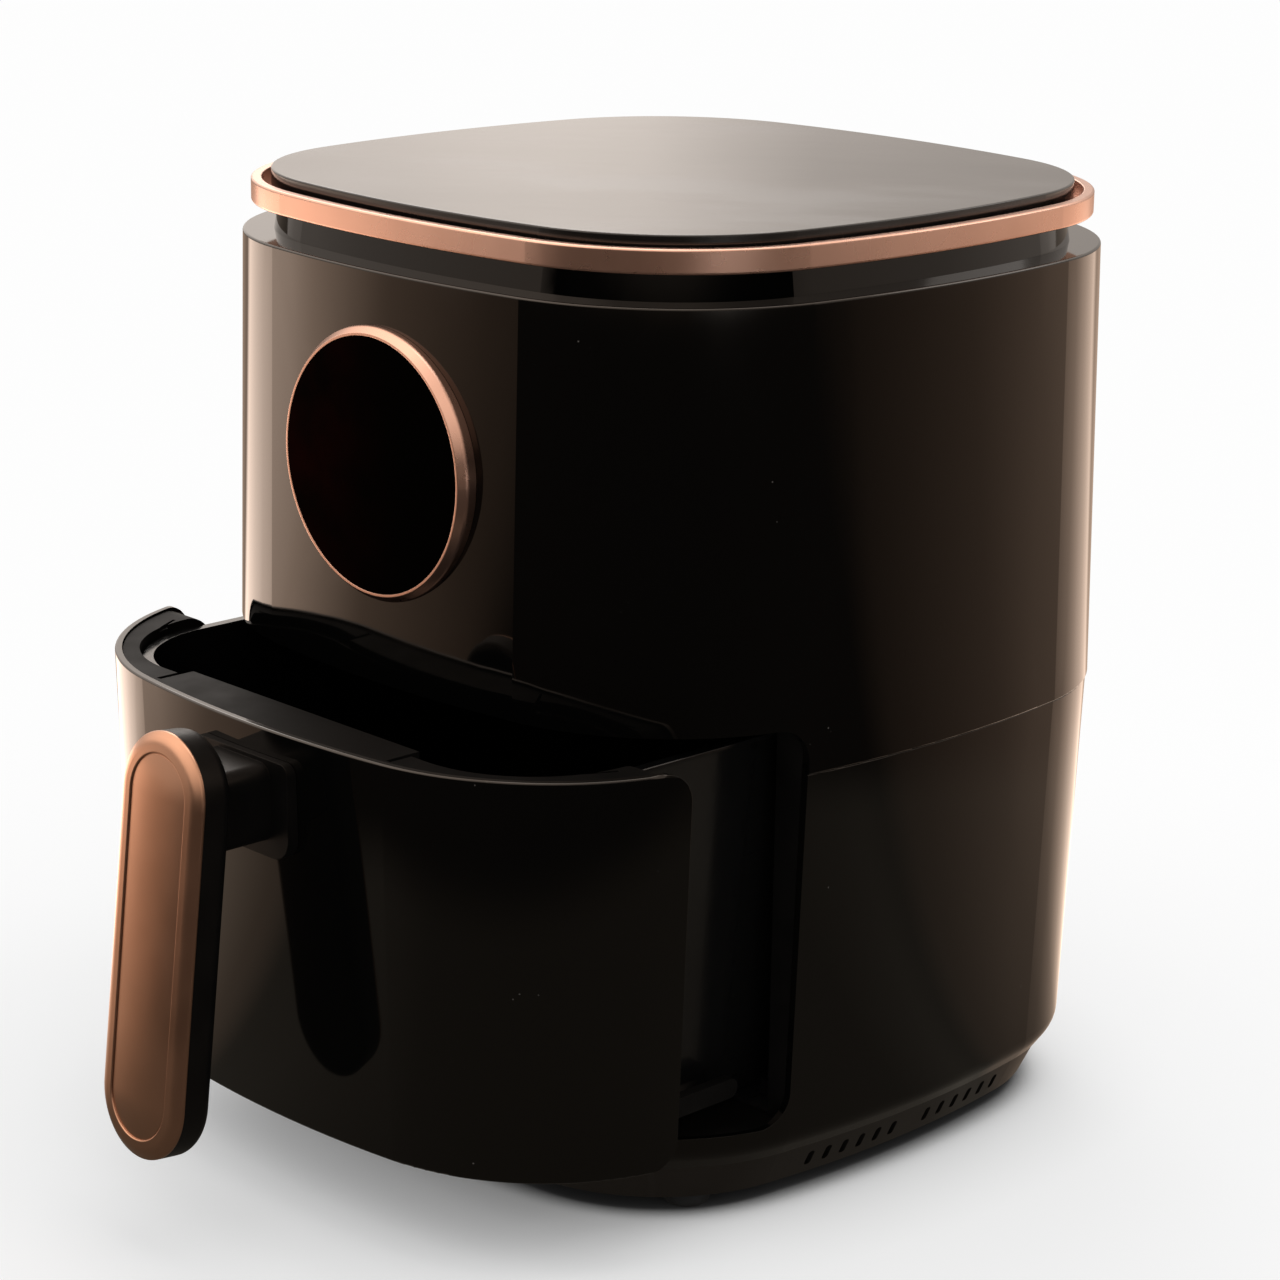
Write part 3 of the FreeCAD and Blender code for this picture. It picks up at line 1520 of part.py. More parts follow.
def crisper_bumpers():
    """Soft pads on the plate's sides that centre it in the pan."""
    half = crisper_half_width()
    low = crisper_z + crisper_rim_height - bumper_height
    pads = []
    front, rear = crisper_ends()
    middle_y = (front + rear) / 2
    for sign in (-1, 1):
        y = middle_y + sign * crisper_leg_y / 2
        pad = box((half, half + bumper_wall), (y - bumper_length / 2, y + bumper_length / 2),
                  (low, low + bumper_height))
        pads += [pad, mirrored(pad)]
    return Part.makeCompound(pads)


fixed_parts = [
    lower_housing, upper_housing, top_collar, trim_ring, top_cover, base_plate, rubber_feet, base_screws,
    display_bezel, display_lens, display_board, display_holder, chamber_frame, chamber_liner, guide_rails,
    heater_guard, element_clips, heating_element, heater_dome, thermal_cutout, exhaust_grille, exhaust_duct,
    motor_bracket, lower_bearing, upper_bearing, motor_stator, motor_coil, motor_screws,
    board_bracket, power_board, door_switch, cord_gland, switch_plunger,
]
fan_parts = [motor_shaft, motor_rotor, hot_air_fan, cooling_fan]
drawer_parts = [
    drawer_front, drawer_inner, frying_pan, pan_screws, handle_cover, handle_grip, handle_stem, handle_screws,
    crisper_plate, crisper_bumpers,
]

os.makedirs("parts", exist_ok=True)
for make in fixed_parts + fan_parts + drawer_parts:
    solid = make()
    if make in drawer_parts:
        solid.translate(Vector(0, -drawer_pull, 0))
    solid.exportStep("parts/" + make.__name__ + ".step")
    print(make.__name__, len(solid.Solids), round(solid.Volume / 1000, 2), "cm3", solid.isValid())
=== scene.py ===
import json
import math

import bmesh
import bpy
from mathutils import Matrix, Vector


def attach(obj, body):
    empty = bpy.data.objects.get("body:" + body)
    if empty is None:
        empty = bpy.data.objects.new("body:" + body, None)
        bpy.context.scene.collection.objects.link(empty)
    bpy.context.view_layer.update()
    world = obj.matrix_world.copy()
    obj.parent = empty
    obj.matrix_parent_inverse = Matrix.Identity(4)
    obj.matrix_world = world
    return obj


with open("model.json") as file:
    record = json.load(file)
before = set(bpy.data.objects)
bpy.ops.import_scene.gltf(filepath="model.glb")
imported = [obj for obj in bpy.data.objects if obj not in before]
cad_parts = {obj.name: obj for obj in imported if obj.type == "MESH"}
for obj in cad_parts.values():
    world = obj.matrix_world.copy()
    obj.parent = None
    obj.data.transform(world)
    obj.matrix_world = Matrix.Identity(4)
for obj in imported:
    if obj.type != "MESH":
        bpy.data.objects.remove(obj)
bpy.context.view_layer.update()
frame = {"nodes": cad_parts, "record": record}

# Camera, fitted to the photograph: metres and degrees, azimuth measured from the front towards +X
CAMERA_AZIMUTH = 45.87
CAMERA_ELEVATION = 16.07
CAMERA_ROLL = 0.84
CAMERA_DISTANCE = 1.2756
CAMERA_SHIFT_RIGHT = -0.00897
CAMERA_AIM_HEIGHT = 0.16384
SENSOR_WIDTH = 36.0
LENS = 98.0

# Floor, backdrop and lamps: reaches in metres from the middle of the floor, levels as shares of white
WHITE = (1.0, 1.0, 1.0, 1.0)
WHITE_LEVEL = 0.985
AMBIENT_LEVEL = 0.80
PAPER_GREY = 0.90
FLOOR_SIZE = 12.0
FLOOR_DROP = 0.0002
FLOOR_FADE = (0.20, 0.70)
FLOOR_LEAST_WHITE = 0.55
LAMP_AIM = Vector((0.0, 0.0, 0.15))

# Shade on the floor: a soft one round the object, and a dark one where the base is close to it
CONTACT_REACH = 0.05
CONTACT_SAMPLES = 8
TOUCH_REACH = 0.024
TOUCH_SAMPLES = 32
TOUCH_RANGE = (0.25, 0.55)
TOUCH_SHADE = 0.06

# Surroundings as glossy surfaces mirror them: the floor in three rings, the world round it, and what is above
GLOW_LEVEL = 3.0
OVERHEAD_LEVEL = 0.72
OVERHEAD_RISE = (0.12, 0.65)
WINDOW_RISE = (0.10, 0.18)
NEAR_FLOOR_REACH = (0.44, 0.54)
FAR_FLOOR_REACH = (2.18, 2.55)
FLOOR_TINT = (1.0, 0.70, 0.51)
NEAR_FLOOR_TINT = (1.0, 0.93, 0.78)
FAR_FLOOR_TINT = (1.0, 0.78, 0.60)
WORLD_TINT = (1.0, 0.90, 0.82)
FLOOR_PALING = 0.25
FAR_FLOOR_PALING = 1.6

# Their brightness, as (degrees from the camera's side towards its right, share of GLOW_LEVEL)
FLOOR_GLOW = [
    (-180, 0.15), (-145, 0.15), (-140, 1.10), (-121, 1.20), (-112, 1.10), (-104, 0.64), (-92, 0.22),
    (-74, 0.078), (-70, 0.008), (0, 0.006), (72, 0.008), (76, 0.042), (93, 0.11), (104, 0.20), (115, 0.42),
    (125, 0.60), (142, 0.72), (147, 0.25), (180, 0.15),
]
NEAR_FLOOR_GLOW = [
    (-180, 0.023), (-104, 0.023), (-95, 0.075), (-84, 0.075), (-76, 0.03), (-68, 0.038), (-62, 0.038),
    (-52, 0.03), (-40, 0.023), (0, 0.023), (56, 0.023), (68, 0.04), (78, 0.023), (180, 0.023),
]
FAR_FLOOR_GLOW = [
    (-180, 0.08), (-125, 0.04), (-108, 0.10), (-96, 0.38), (-76, 0.50), (-67, 0.20), (-56, 0.05),
    (-15, 0.07), (8, 0.12), (22, 0.58), (34, 0.58), (48, 0.26), (66, 0.25), (80, 0.40), (99, 0.38),
    (108, 0.32), (127, 0.10), (180, 0.12),
]
WORLD_GLOW = [
    (-180, 0.44), (-178, 0.47), (-175, 0.40), (-160, 0.41), (-145, 0.30), (-117, 0.25), (-103, 0.19),
    (-74, 0.16), (-67, 0.0), (0, 0.0), (70, 0.0), (76, 0.13), (94, 0.15), (124, 0.30), (140, 0.26),
    (155, 0.19), (168, 0.19), (174, 0.23), (177, 0.26), (178.5, 0.34), (180, 0.44),
]
WINDOW_GLOW = [
    (-180, 0.0), (-140, 0.10), (-110, 0.30), (-85, 0.42), (-50, 0.42), (-30, 0.20), (12, 0.20), (40, 0.08),
    (60, 0.05), (180, 0.0),
]

# Values that the finishes share: metres, radians, and ranges of a texture's value
EDGE_SOFTNESS = 0.00025
GLOSS_EDGE_SOFTNESS = 0.00008
EDGE_SAMPLES = 4
WIPE_TURN = math.radians(40.0)
WIPE_STRETCH = (2.4, 1.0, 1.0)
DUST_SCALE = 260.0
SPECK_EDGE = (0.05, 0.09)
DUST_PATCH_SCALE = 45.0
DUST_PATCH_EDGE = (0.66, 0.70)
FULL = (0.0, 1.0)
FULL_DOWN = (1.0, 0.0)
MIDDLE = (0.3, 0.7)
MIDDLE_WIDE = (0.3, 0.8)

# Plate in the handle's sunk panel, about the middle of the handle's front
HANDLE_MIDDLE = Vector((0.0, -0.2344, 0.1038))
HANDLE_TILT = math.radians(6.2)
HANDLE_STRAIGHT_HALF = 0.051
PLATE_HALF_WIDTH = 0.0141
PLATE_FOOT_DEPTH = 0.0009
PLATE_EDGE_DEPTH = 0.00055
PLATE_CROWN = 0.00120
PLATE_RINGS = 9
PLATE_END_STEPS = 24
PLATE_SHARP_ANGLE = math.radians(40.0)
PLATE_WELD = 0.000001

turn = math.radians(CAMERA_AZIMUTH)
HEADING = Vector((math.sin(turn), -math.cos(turn), 0.0))
RIGHT = Vector((math.cos(turn), math.sin(turn), 0.0))
UP = Vector((0.0, 0.0, 1.0))


class Shading:
    """A node tree with short calls for the nodes used here."""

    def __init__(self, owner):
        owner.use_nodes = True
        self.tree = owner.node_tree

    def feed(self, socket, value):
        """Links another socket to this one, or sets a plain value on it."""
        if isinstance(value, bpy.types.NodeSocket):
            self.tree.links.new(value, socket)
        else:
            socket.default_value = value

    def add(self, kind, inputs=None, **settings):
        node = self.tree.nodes.new("ShaderNode" + kind)
        for name, value in settings.items():
            setattr(node, name, value)
        for name, value in (inputs or {}).items():
            self.feed(node.inputs[name], value)
        return node

    def shader(self, kind, **inputs):
        return self.add(kind, inputs).outputs[0]

    def mix(self, share, first, second):
        return self.add("MixShader", {0: share, 1: first, 2: second}).outputs[0]

    def sum(self, first, second):
        return self.add("AddShader", {0: first, 1: second}).outputs[0]

    def math(self, operation, first, second):
        return self.add("Math", {0: first, 1: second}, operation=operation).outputs[0]

    def dot(self, vector, direction):
        return self.add("VectorMath", {0: vector, 1: direction}, operation="DOT_PRODUCT").outputs["Value"]

    def spread(self, value, source, target, smooth=False):
        """A value moved from one range to another, kept within it."""
        kind = "SMOOTHSTEP" if smooth else "LINEAR"
        node = self.add("MapRange", {"Value": value}, interpolation_type=kind)
        ends = {"From Min": source[0], "From Max": source[1], "To Min": target[0], "To Max": target[1]}
        for name, end in ends.items():
            self.feed(node.inputs[name], end)
        return node.outputs["Result"]

    def ramp(self, factor, stops):
        """Colour by a factor, through (place, colour) stops."""
        node = self.add("ValToRGB", {"Fac": factor})
        elements = node.color_ramp.elements
        while len(elements) < len(stops):
            elements.new(1.0)
        for element, (place, colour) in zip(elements, stops):
            element.position = place
            element.color = (*colour, 1.0)
        return node.outputs["Color"]


class Finish(Shading):
    """A material: one shader and the textures that feed it, in the object's own metres."""

    def __init__(self, name, **values):
        self.material = bpy.data.materials.new(name)
        super().__init__(self.material)
        self.surface = self.tree.nodes["Principled BSDF"]
        self.coords = self.add("TexCoord").outputs["Object"]
        for word, value in values.items():
            self.set(word.replace("_", " ").title().replace("Ior", "IOR"), value)

    def set(self, name, value):
        self.feed(self.surface.inputs[name], value)

    def colour(self, texture, *stops):
        self.set("Base Color", self.ramp(texture, stops))

    def two_tone(self, texture, first, second, source=MIDDLE):
        """Base colour from one tone to another over a range of the texture."""
        self.colour(texture, (source[0], first), (source[1], second))

    def roughness(self, texture, source, target):
        self.set("Roughness", self.spread(texture, source, target))

    def vary_roughness(self, texture, middle, swing, source=MIDDLE):
        """Roughness that swings about a middle value over a range of the texture."""
        self.roughness(texture, source, (middle - swing, middle + swing))

    def noise(self, scale, detail=3.0, stretch=(1.0, 1.0, 1.0)):
        place = self.add("Mapping", {"Vector": self.coords, "Scale": stretch}).outputs[0]
        return self.add("TexNoise", {"Vector": place, "Scale": scale, "Detail": detail}).outputs["Fac"]

    def cells(self, scale, feature="F1"):
        node = self.add("TexVoronoi", {"Vector": self.coords, "Scale": scale}, feature=feature)
        return node.outputs["Distance"]

    def bands(self, scale, direction, distortion=0.0):
        node = self.add("TexWave", {"Vector": self.coords, "Scale": scale, "Distortion": distortion},
                        bands_direction=direction)
        return node.outputs["Fac"]

    def bump(self, height, distance, strength=1.0, softness=EDGE_SOFTNESS):
        """Surface relief, on edges that are softened as moulded and pressed edges are."""
        soft = self.add("Bevel", {"Radius": softness}, samples=EDGE_SAMPLES).outputs["Normal"]
        relief = {"Height": height, "Distance": distance, "Strength": strength, "Normal": soft}
        self.set("Normal", self.add("Bump", relief).outputs["Normal"])


# Finishes

def dust(finish, amount):
    """Factor that is 1 on sparse small specks."""
    specks = finish.spread(finish.cells(DUST_SCALE), SPECK_EDGE, FULL_DOWN)
    edge = [level - amount for level in DUST_PATCH_EDGE]
    patches = finish.spread(finish.noise(DUST_PATCH_SCALE, detail=2.0), edge, FULL)
    return finish.math("MULTIPLY", specks, patches)


def gloss_black():
    """High gloss moulded plastic with faint handling marks and a little dust."""
    finish = Finish("gloss_black", specular_tint=(1.0, 0.88, 0.78, 1.0))
    specks = dust(finish, amount=0.0)
    finish.two_tone(specks, (0.0013, 0.0013, 0.0012), (0.06, 0.055, 0.05), FULL)
    handled = finish.noise(scale=22.0, detail=4.0, stretch=(1.0, 1.0, 0.35))
    smears = finish.spread(handled, (0.35, 0.75), (0.035, 0.085))
    finish.set("Roughness", finish.math("MAXIMUM", smears, finish.math("MULTIPLY", specks, 0.5)))
    finish.bump(finish.noise(scale=14.0, detail=1.0), distance=0.00004, softness=GLOSS_EDGE_SOFTNESS)
    return finish.material


def cover_gloss():
    """The same plastic on the lid: its top is hazed by wiping streaks and dust, its edge is clean."""
    finish = Finish("cover_gloss", specular_tint=(1.0, 0.95, 0.90, 1.0))
    drawn = {"Vector": finish.coords, "Rotation": (0.0, 0.0, WIPE_TURN), "Scale": WIPE_STRETCH}
    wiped = finish.add("Mapping", drawn, vector_type="TEXTURE").outputs[0]
    grain = {"Vector": wiped, "Scale": 15.0, "Detail": 6.0, "Roughness": 0.56}
    streaks = finish.add("TexNoise", grain).outputs["Fac"]
    strips = finish.spread(streaks, (0.38, 0.64), FULL, smooth=True)
    patches = finish.spread(finish.noise(scale=7.0), (0.36, 0.62), (0.15, 1.0), smooth=True)
    haze = finish.math("MULTIPLY", strips, patches)
    normal = finish.add("TexCoord").outputs["Normal"]
    facing_up = finish.add("SeparateXYZ", {"Vector": normal}).outputs["Z"]
    top = finish.spread(facing_up, (0.90, 0.99), FULL)
    marks = finish.math("MULTIPLY", finish.math("MAXIMUM", haze, dust(finish, amount=0.16)), top)
    finish.colour(marks, (0.0, (0.006, 0.0054, 0.005)), (0.5, (0.030, 0.026, 0.023)),
                  (1.0, (0.066, 0.061, 0.057)))
    finish.roughness(haze, FULL, (0.10, 0.22))
    finish.bump(streaks, distance=0.00012)
    return finish.material


def matte_black(name, dark, light, roughness, specular):
    """Fine spark-eroded grain on black moulded plastic."""
    finish = Finish(name, specular_ior_level=specular, specular_tint=(1.0, 0.79, 0.63, 1.0))
    wear = finish.noise(scale=60.0, detail=4.0)
    finish.two_tone(wear, dark, light, MIDDLE_WIDE)
    finish.vary_roughness(wear, roughness, swing=0.07, source=MIDDLE_WIDE)
    finish.bump(finish.noise(scale=2200.0, detail=2.0), distance=0.00003, strength=0.6)
    return finish.material


def rose_gold(name, dark, light, roughness):
    """Satin rose-gold plating."""
    finish = Finish(name, metallic=1.0)
    finish.two_tone(finish.noise(scale=35.0), dark, light)
    finish.vary_roughness(finish.noise(scale=90.0), roughness, swing=0.015)
    finish.bump(finish.noise(scale=300.0, detail=2.0), distance=0.000004, strength=0.5)
    return finish.material


def display_glass():
    """Dark touch panel, its base colour a deep red in clouds, stronger towards the left."""
    finish = Finish("display_glass", roughness=0.05, specular_ior_level=0.005)
    across = finish.add("SeparateXYZ", {"Vector": finish.coords}).outputs["X"]
    to_left = finish.spread(across, (-0.045, 0.02), FULL_DOWN, smooth=True)
    clouds = finish.spread(finish.noise(scale=60.0), MIDDLE, (0.2, 1.0))
    cast = finish.math("MULTIPLY", to_left, clouds)
    finish.two_tone(cast, (0.0, 0.0, 0.0), (0.0045, 0.0001, 0.0), FULL)
    return finish.material


def plain_plastic(name, dark, light, roughness):
    """Moulded plastic with a soft mottling and a fine grain."""
    finish = Finish(name)
    finish.two_tone(finish.noise(scale=80.0), dark, light)
    finish.vary_roughness(finish.noise(scale=300.0), roughness, swing=0.06)
    finish.bump(finish.noise(scale=1800.0, detail=2.0), distance=0.00003, strength=0.5)
    return finish.material


def rubber(name, dark, light):
    """Soft matte rubber."""
    finish = Finish(name, specular_ior_level=0.35)
    finish.two_tone(finish.noise(scale=120.0), dark, light)
    finish.roughness(finish.noise(scale=500.0), MIDDLE, (0.72, 0.88))
    finish.bump(finish.noise(scale=900.0), distance=0.00006, strength=0.6)
    return finish.material


def metal(name, dark, light, roughness, stretch=(1.0, 1.0, 1.0)):
    """Bare metal; a stretch draws its grain out into brushing."""
    finish = Finish(name, metallic=1.0)
    grain = finish.noise(scale=400.0, detail=4.0, stretch=stretch)
    finish.two_tone(grain, dark, light)
    finish.vary_roughness(grain, roughness, swing=0.07)
    finish.bump(grain, distance=0.00001, strength=0.5)
    return finish.material


def nonstick():
    """Black non-stick coating with a fine pebble."""
    finish = Finish("nonstick", specular_tint=(1.0, 0.93, 0.86, 1.0))
    pebble = finish.cells(scale=900.0)
    finish.two_tone(pebble, (0.0042, 0.0040, 0.0038), (0.0026, 0.0025, 0.0024), source=(0.1, 0.7))
    finish.roughness(finish.noise(scale=160.0), MIDDLE, (0.12, 0.19))
    finish.bump(pebble, distance=0.000008, strength=0.3)
    return finish.material


def circuit_board():
    """Green solder mask with lighter tracks."""
    finish = Finish("board_green")
    tracks = finish.spread(finish.cells(scale=240.0, feature="DISTANCE_TO_EDGE"), (0.03, 0.06), FULL_DOWN)
    finish.two_tone(tracks, (0.006, 0.060, 0.022), (0.020, 0.130, 0.050), FULL)
    finish.roughness(tracks, FULL, (0.42, 0.30))
    finish.bump(tracks, distance=0.00004, strength=0.5)
    return finish.material


def laminations():
    """Edges of stacked steel sheets."""
    finish = Finish("lamination", metallic=1.0)
    sheets = finish.bands(scale=320.0, direction="Z")
    finish.two_tone(sheets, (0.12, 0.12, 0.13), (0.34, 0.34, 0.35), source=(0.2, 0.8))
    finish.roughness(sheets, FULL, (0.55, 0.38))
    finish.bump(sheets, distance=0.0001, strength=0.6)
    return finish.material


def copper_winding():
    """Enamelled wire laid side by side."""
    finish = Finish("copper_winding", metallic=1.0)
    wires = finish.bands(scale=380.0, direction="X", distortion=0.4)
    finish.two_tone(wires, (0.16, 0.045, 0.018), (0.52, 0.20, 0.085), source=(0.1, 0.8))
    finish.roughness(wires, FULL, (0.50, 0.28))
    finish.bump(wires, distance=0.0002, strength=0.8)
    return finish.material


def heater_steel():
    """Heater sheath, tempered dark in patches."""
    finish = Finish("heater_steel", metallic=1.0)
    temper = finish.noise(scale=70.0, detail=5.0)
    finish.colour(temper, (0.3, (0.10, 0.075, 0.06)), (0.55, (0.20, 0.17, 0.15)), (0.75, (0.09, 0.09, 0.11)))
    finish.roughness(temper, MIDDLE, (0.38, 0.55))
    finish.bump(finish.noise(scale=1500.0), distance=0.00002, strength=0.5)
    return finish.material


finishes = {
    "gloss_black": gloss_black(),
    "matte_black": matte_black("matte_black", dark=(0.0028, 0.0027, 0.0026), light=(0.0058, 0.0054, 0.0050),
                               roughness=0.53, specular=0.035),
    "rose_gold": rose_gold("rose_gold", dark=(0.62, 0.36, 0.265), light=(0.68, 0.40, 0.30), roughness=0.28),
    "display_glass": display_glass(),
    "inner_plastic": plain_plastic("inner_plastic", dark=(0.10, 0.10, 0.104), light=(0.14, 0.14, 0.145),
                                   roughness=0.5),
    "plunger_red": plain_plastic("plunger_red", dark=(0.30, 0.024, 0.016), light=(0.38, 0.032, 0.022),
                                 roughness=0.42),
    "board_green": circuit_board(),
    "rubber_black": rubber("rubber_black", dark=(0.010, 0.010, 0.010), light=(0.018, 0.018, 0.018)),
    "silicone": rubber("silicone", dark=(0.060, 0.060, 0.062), light=(0.080, 0.080, 0.082)),
    "sheet_steel": metal("sheet_steel", dark=(0.46, 0.46, 0.45), light=(0.58, 0.58, 0.57), roughness=0.34,
                         stretch=(1.0, 0.06, 1.0)),
    "heater_steel": heater_steel(),
    "lamination": laminations(),
    "shaft_steel": metal("shaft_steel", dark=(0.55, 0.55, 0.56), light=(0.66, 0.66, 0.67), roughness=0.24,
                         stretch=(1.0, 1.0, 12.0)),
    "screw_steel": metal("screw_steel", dark=(0.42, 0.42, 0.44), light=(0.56, 0.56, 0.57), roughness=0.36),
    "copper_winding": copper_winding(),
    "fan_metal": metal("fan_metal", dark=(0.60, 0.60, 0.61), light=(0.72, 0.72, 0.73), roughness=0.32),
    "nonstick": nonstick(),
}

# Pieces whose finish differs from their slot's
base_black = matte_black("base_black", dark=(0.0036, 0.0033, 0.0030), light=(0.0062, 0.0057, 0.0052),
                         roughness=0.36, specular=0.44)
grip_black = matte_black("grip_black", dark=(0.0018, 0.0018, 0.0018), light=(0.0032, 0.0031, 0.0030),
                         roughness=0.40, specular=0.17)
# The handle's rose gold is the ring's plating written darker, as painted shade: the handle sits low and gets
# less light than the ring
handle_gold_painted_shade = rose_gold("handle_gold_painted_shade", dark=(0.44, 0.235, 0.147), light=(0.50, 0.267, 0.17), roughness=0.30)
special = {
    "base_plate": base_black,
    "top_cover": cover_gloss(),
    "handle_cover": handle_gold_painted_shade,
    "handle_grip": grip_black,
    "handle_stem": grip_black,
}

for subpart in frame["record"]["subparts"]:
    node = subpart["node"]
    surface = special.get(node) or finishes[subpart["material_slot"]]
    slots = frame["nodes"][node].data.materials
    slots.clear()
    slots.append(surface)


# Handle's plate

def plate_ring(out, depth):
    """Round-ended loop in the handle's own frame: across, into the handle, up."""
    ring = []
    for end in (1.0, -1.0):
        for step in range(PLATE_END_STEPS + 1):
            angle = math.pi * step / PLATE_END_STEPS
            up = HANDLE_STRAIGHT_HALF + out * math.sin(angle)
            ring.append(Vector((end * out * math.cos(angle), depth, end * up)))
    return ring


def plate_rings():
    """Loops from the plate's foot to its edge, and over its crown to the middle line."""
    rings = [plate_ring(PLATE_HALF_WIDTH, PLATE_FOOT_DEPTH)]
    for step in range(PLATE_RINGS, -1, -1):
        share = step / PLATE_RINGS
        depth = PLATE_EDGE_DEPTH - PLATE_CROWN * (1.0 - share * share)
        rings.append(plate_ring(PLATE_HALF_WIDTH * share, depth))
    return rings


def plate_mesh():
    """Closed mesh through the loops, moved to its place in the handle."""
    shape = bmesh.new()
    loops = [[shape.verts.new(point) for point in ring] for ring in plate_rings()]
    shape.faces.new(loops[0])
    for outer, inner in zip(loops, loops[1:]):
        for i in range(len(outer)):
            shape.faces.new((outer[i - 1], outer[i], inner[i], inner[i - 1]))
    bmesh.ops.remove_doubles(shape, verts=shape.verts, dist=PLATE_WELD)
    bmesh.ops.recalc_face_normals(shape, faces=shape.faces)
    for face in shape.faces:
        face.smooth = True
    mesh = bpy.data.meshes.new("handle_plate")
    shape.to_mesh(mesh)
    shape.free()
    mesh.transform(Matrix.Translation(HANDLE_MIDDLE) @ Matrix.Rotation(-HANDLE_TILT, 4, "X"))
    mesh.set_sharp_from_angle(angle=PLATE_SHARP_ANGLE)
    return mesh


def handle_plate():
    """Pressed plate that fills the sunk panel, crowned from its edge to its middle line."""
    plate = bpy.data.objects.new("handle_plate", plate_mesh())
    bpy.context.scene.collection.objects.link(plate)
    # The plate takes the handle's darker rose gold, whose darkness is painted shade
    plate.data.materials.append(handle_gold_painted_shade)
    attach(plate, "drawer")


handle_plate()


# Stage

def tinted(level, tint, paling):
    """A tint at a level, paler where it is brighter."""
    pale = min(1.0, paling * level)
    return [level * (channel + (1.0 - channel) * pale) for channel in tint]


def glow(shading, place, levels, tint, paling=0.0):
    """Colour of the surroundings by the direction of a place: bright behind the object, dark in front."""
    ahead = shading.dot(place, HEADING)
    aside = shading.dot(place, RIGHT)
    angle = shading.math("ARCTAN2", aside, ahead)
    share = shading.spread(angle, (-math.pi, math.pi), FULL)
    stops = [((degrees + 180) / 360, tinted(level, tint, paling)) for degrees, level in levels]
    return shading.ramp(share, stops)


def studio_world():
    """Even white light, a white backdrop, and a room for the gloss to mirror."""
    world = bpy.data.worlds.new("studio")
    bpy.context.scene.world = world
    shading = Shading(world)
    direction = shading.add("TexCoord").outputs["Generated"]
    rise = shading.dot(direction, UP)
    ambient = shading.shader("Background", Color=WHITE, Strength=AMBIENT_LEVEL)
    white = shading.shader("Background", Color=WHITE, Strength=WHITE_LEVEL)
    around_colour = glow(shading, direction, WORLD_GLOW, WORLD_TINT)
    around = shading.shader("Background", Color=around_colour, Strength=GLOW_LEVEL)
    overhead_level = shading.spread(rise, OVERHEAD_RISE, (0.0, OVERHEAD_LEVEL), smooth=True)
    overhead = shading.shader("Background", Color=(*WORLD_TINT, 1.0), Strength=overhead_level)
    window_colour = glow(shading, direction, WINDOW_GLOW, WORLD_TINT)
    window_level = shading.spread(rise, WINDOW_RISE, (0.0, GLOW_LEVEL), smooth=True)
    window = shading.shader("Background", Color=window_colour, Strength=window_level)
    mirror = shading.sum(around, shading.sum(overhead, window))
    path = shading.add("LightPath").outputs
    lit = shading.mix(path["Is Glossy Ray"], ambient, mirror)
    seen = shading.math("MAXIMUM", path["Is Camera Ray"], path["Is Transmission Ray"])
    shown = shading.mix(seen, lit, white)
    shading.feed(shading.tree.nodes["World Output"].inputs["Surface"], shown)


def floor_paper(shading, radius):
    """Pale paper, shaded where the object stands close over it."""
    contact = shading.add("AmbientOcclusion", {"Distance": CONTACT_REACH}, samples=CONTACT_SAMPLES)
    close = shading.add("AmbientOcclusion", {"Distance": TOUCH_REACH}, samples=TOUCH_SAMPLES)
    touch = shading.spread(close.outputs["AO"], TOUCH_RANGE, (TOUCH_SHADE, 1.0), smooth=True)
    open_floor = shading.spread(radius, FLOOR_FADE, (FLOOR_LEAST_WHITE, 1.0), smooth=True)
    near_object = shading.math("MULTIPLY", contact.outputs["AO"], touch)
    fade = shading.math("MULTIPLY", near_object, open_floor)
    paper = shading.shader("BsdfDiffuse", Color=shading.math("MULTIPLY", touch, PAPER_GREY))
    white = shading.shader("Emission", Color=WHITE, Strength=WHITE_LEVEL)
    return shading.mix(fade, paper, white)


def floor_mirrored(shading, place, radius):
    """The floor as the gloss mirrors it: dim near the object, a glow round that, and another far out."""
    middle_colour = glow(shading, place, FLOOR_GLOW, FLOOR_TINT, FLOOR_PALING)
    middle = shading.shader("Emission", Color=middle_colour, Strength=GLOW_LEVEL)
    far_colour = glow(shading, place, FAR_FLOOR_GLOW, FAR_FLOOR_TINT, FAR_FLOOR_PALING)
    far = shading.shader("Emission", Color=far_colour, Strength=GLOW_LEVEL)
    beyond = shading.spread(radius, FAR_FLOOR_REACH, FULL, smooth=True)
    near_colour = glow(shading, place, NEAR_FLOOR_GLOW, NEAR_FLOOR_TINT)
    near_level = shading.spread(radius, NEAR_FLOOR_REACH, (GLOW_LEVEL, 0.0), smooth=True)
    near = shading.shader("Emission", Color=near_colour, Strength=near_level)
    return shading.sum(shading.mix(beyond, middle, far), near)


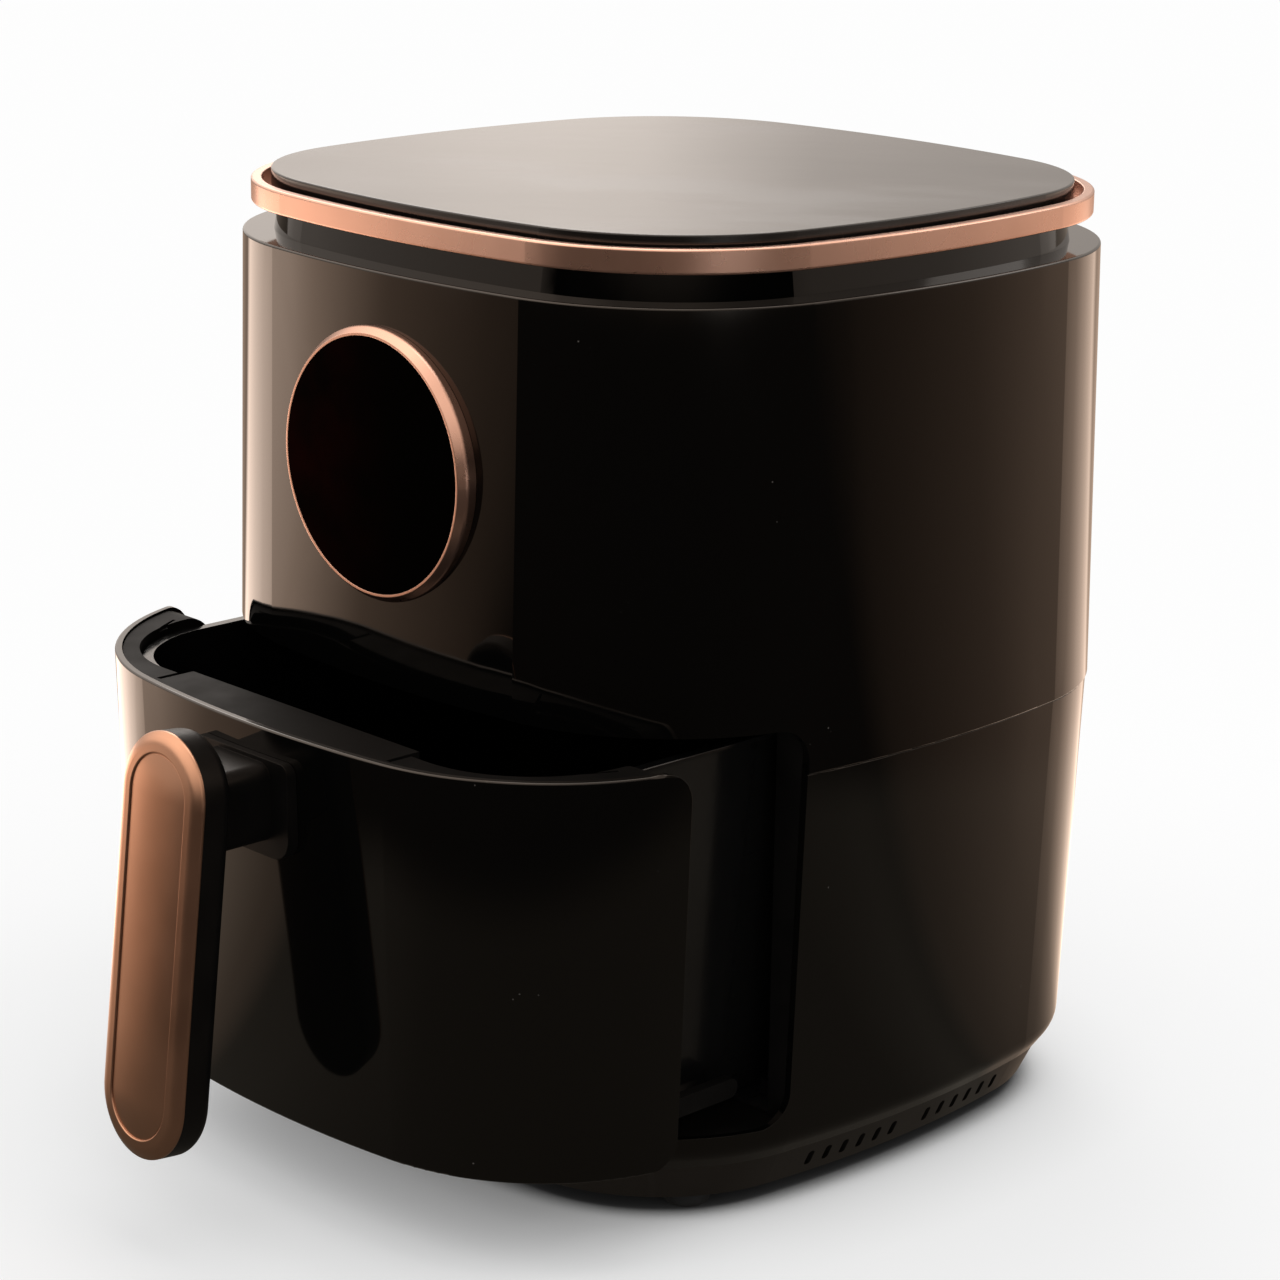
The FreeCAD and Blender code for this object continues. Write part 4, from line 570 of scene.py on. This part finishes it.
def studio_floor():
    """Plain pale floor."""
    bpy.ops.mesh.primitive_plane_add(size=FLOOR_SIZE, location=(0.0, 0.0, -FLOOR_DROP))
    floor = bpy.context.object
    floor.name = "floor"
    material = bpy.data.materials.new("floor")
    shading = Shading(material)
    shading.tree.nodes.remove(shading.tree.nodes["Principled BSDF"])
    place = shading.add("TexCoord").outputs["Object"]
    radius = shading.add("VectorMath", {0: place}, operation="LENGTH").outputs["Value"]
    glossy = shading.add("LightPath").outputs["Is Glossy Ray"]
    shown = shading.mix(glossy, floor_paper(shading, radius), floor_mirrored(shading, place, radius))
    shading.feed(shading.tree.nodes["Material Output"].inputs["Surface"], shown)
    floor.data.materials.append(material)


def softbox(name, place, size, power):
    """Round soft lamp aimed at the object."""
    lamp = bpy.data.lights.new(name, "AREA")
    lamp.shape = "DISK"
    lamp.size = size
    lamp.energy = power
    holder = bpy.data.objects.new(name, lamp)
    bpy.context.scene.collection.objects.link(holder)
    holder.location = place
    holder.rotation_euler = (LAMP_AIM - Vector(place)).to_track_quat("-Z", "Y").to_euler()


def studio_camera():
    """Camera at the photograph's viewing angle."""
    lens = bpy.data.cameras.new("camera")
    lens.sensor_width = SENSOR_WIDTH
    lens.lens = LENS
    camera = bpy.data.objects.new("camera", lens)
    bpy.context.scene.collection.objects.link(camera)
    tilt = math.radians(CAMERA_ELEVATION)
    roll = math.radians(CAMERA_ROLL)
    back = HEADING * math.cos(tilt) + UP * math.sin(tilt)
    up = back.cross(RIGHT)
    across = RIGHT * math.cos(roll) + up * math.sin(roll)
    upward = up * math.cos(roll) - RIGHT * math.sin(roll)
    aim = RIGHT * CAMERA_SHIFT_RIGHT + UP * CAMERA_AIM_HEIGHT
    turned = Matrix((across, upward, back)).transposed().to_4x4()
    camera.matrix_world = Matrix.Translation(aim + back * CAMERA_DISTANCE) @ turned
    bpy.context.scene.camera = camera


studio_world()
studio_floor()
softbox("back_left", place=(-1.5, 1.1, 1.5), size=1.2, power=9.0)
softbox("back_right", place=(1.0, 1.7, 1.4), size=1.0, power=5.0)
softbox("overhead", place=(0.1, 0.2, 2.0), size=1.4, power=7.0)
studio_camera()
bpy.context.scene.view_settings.view_transform = "Standard"
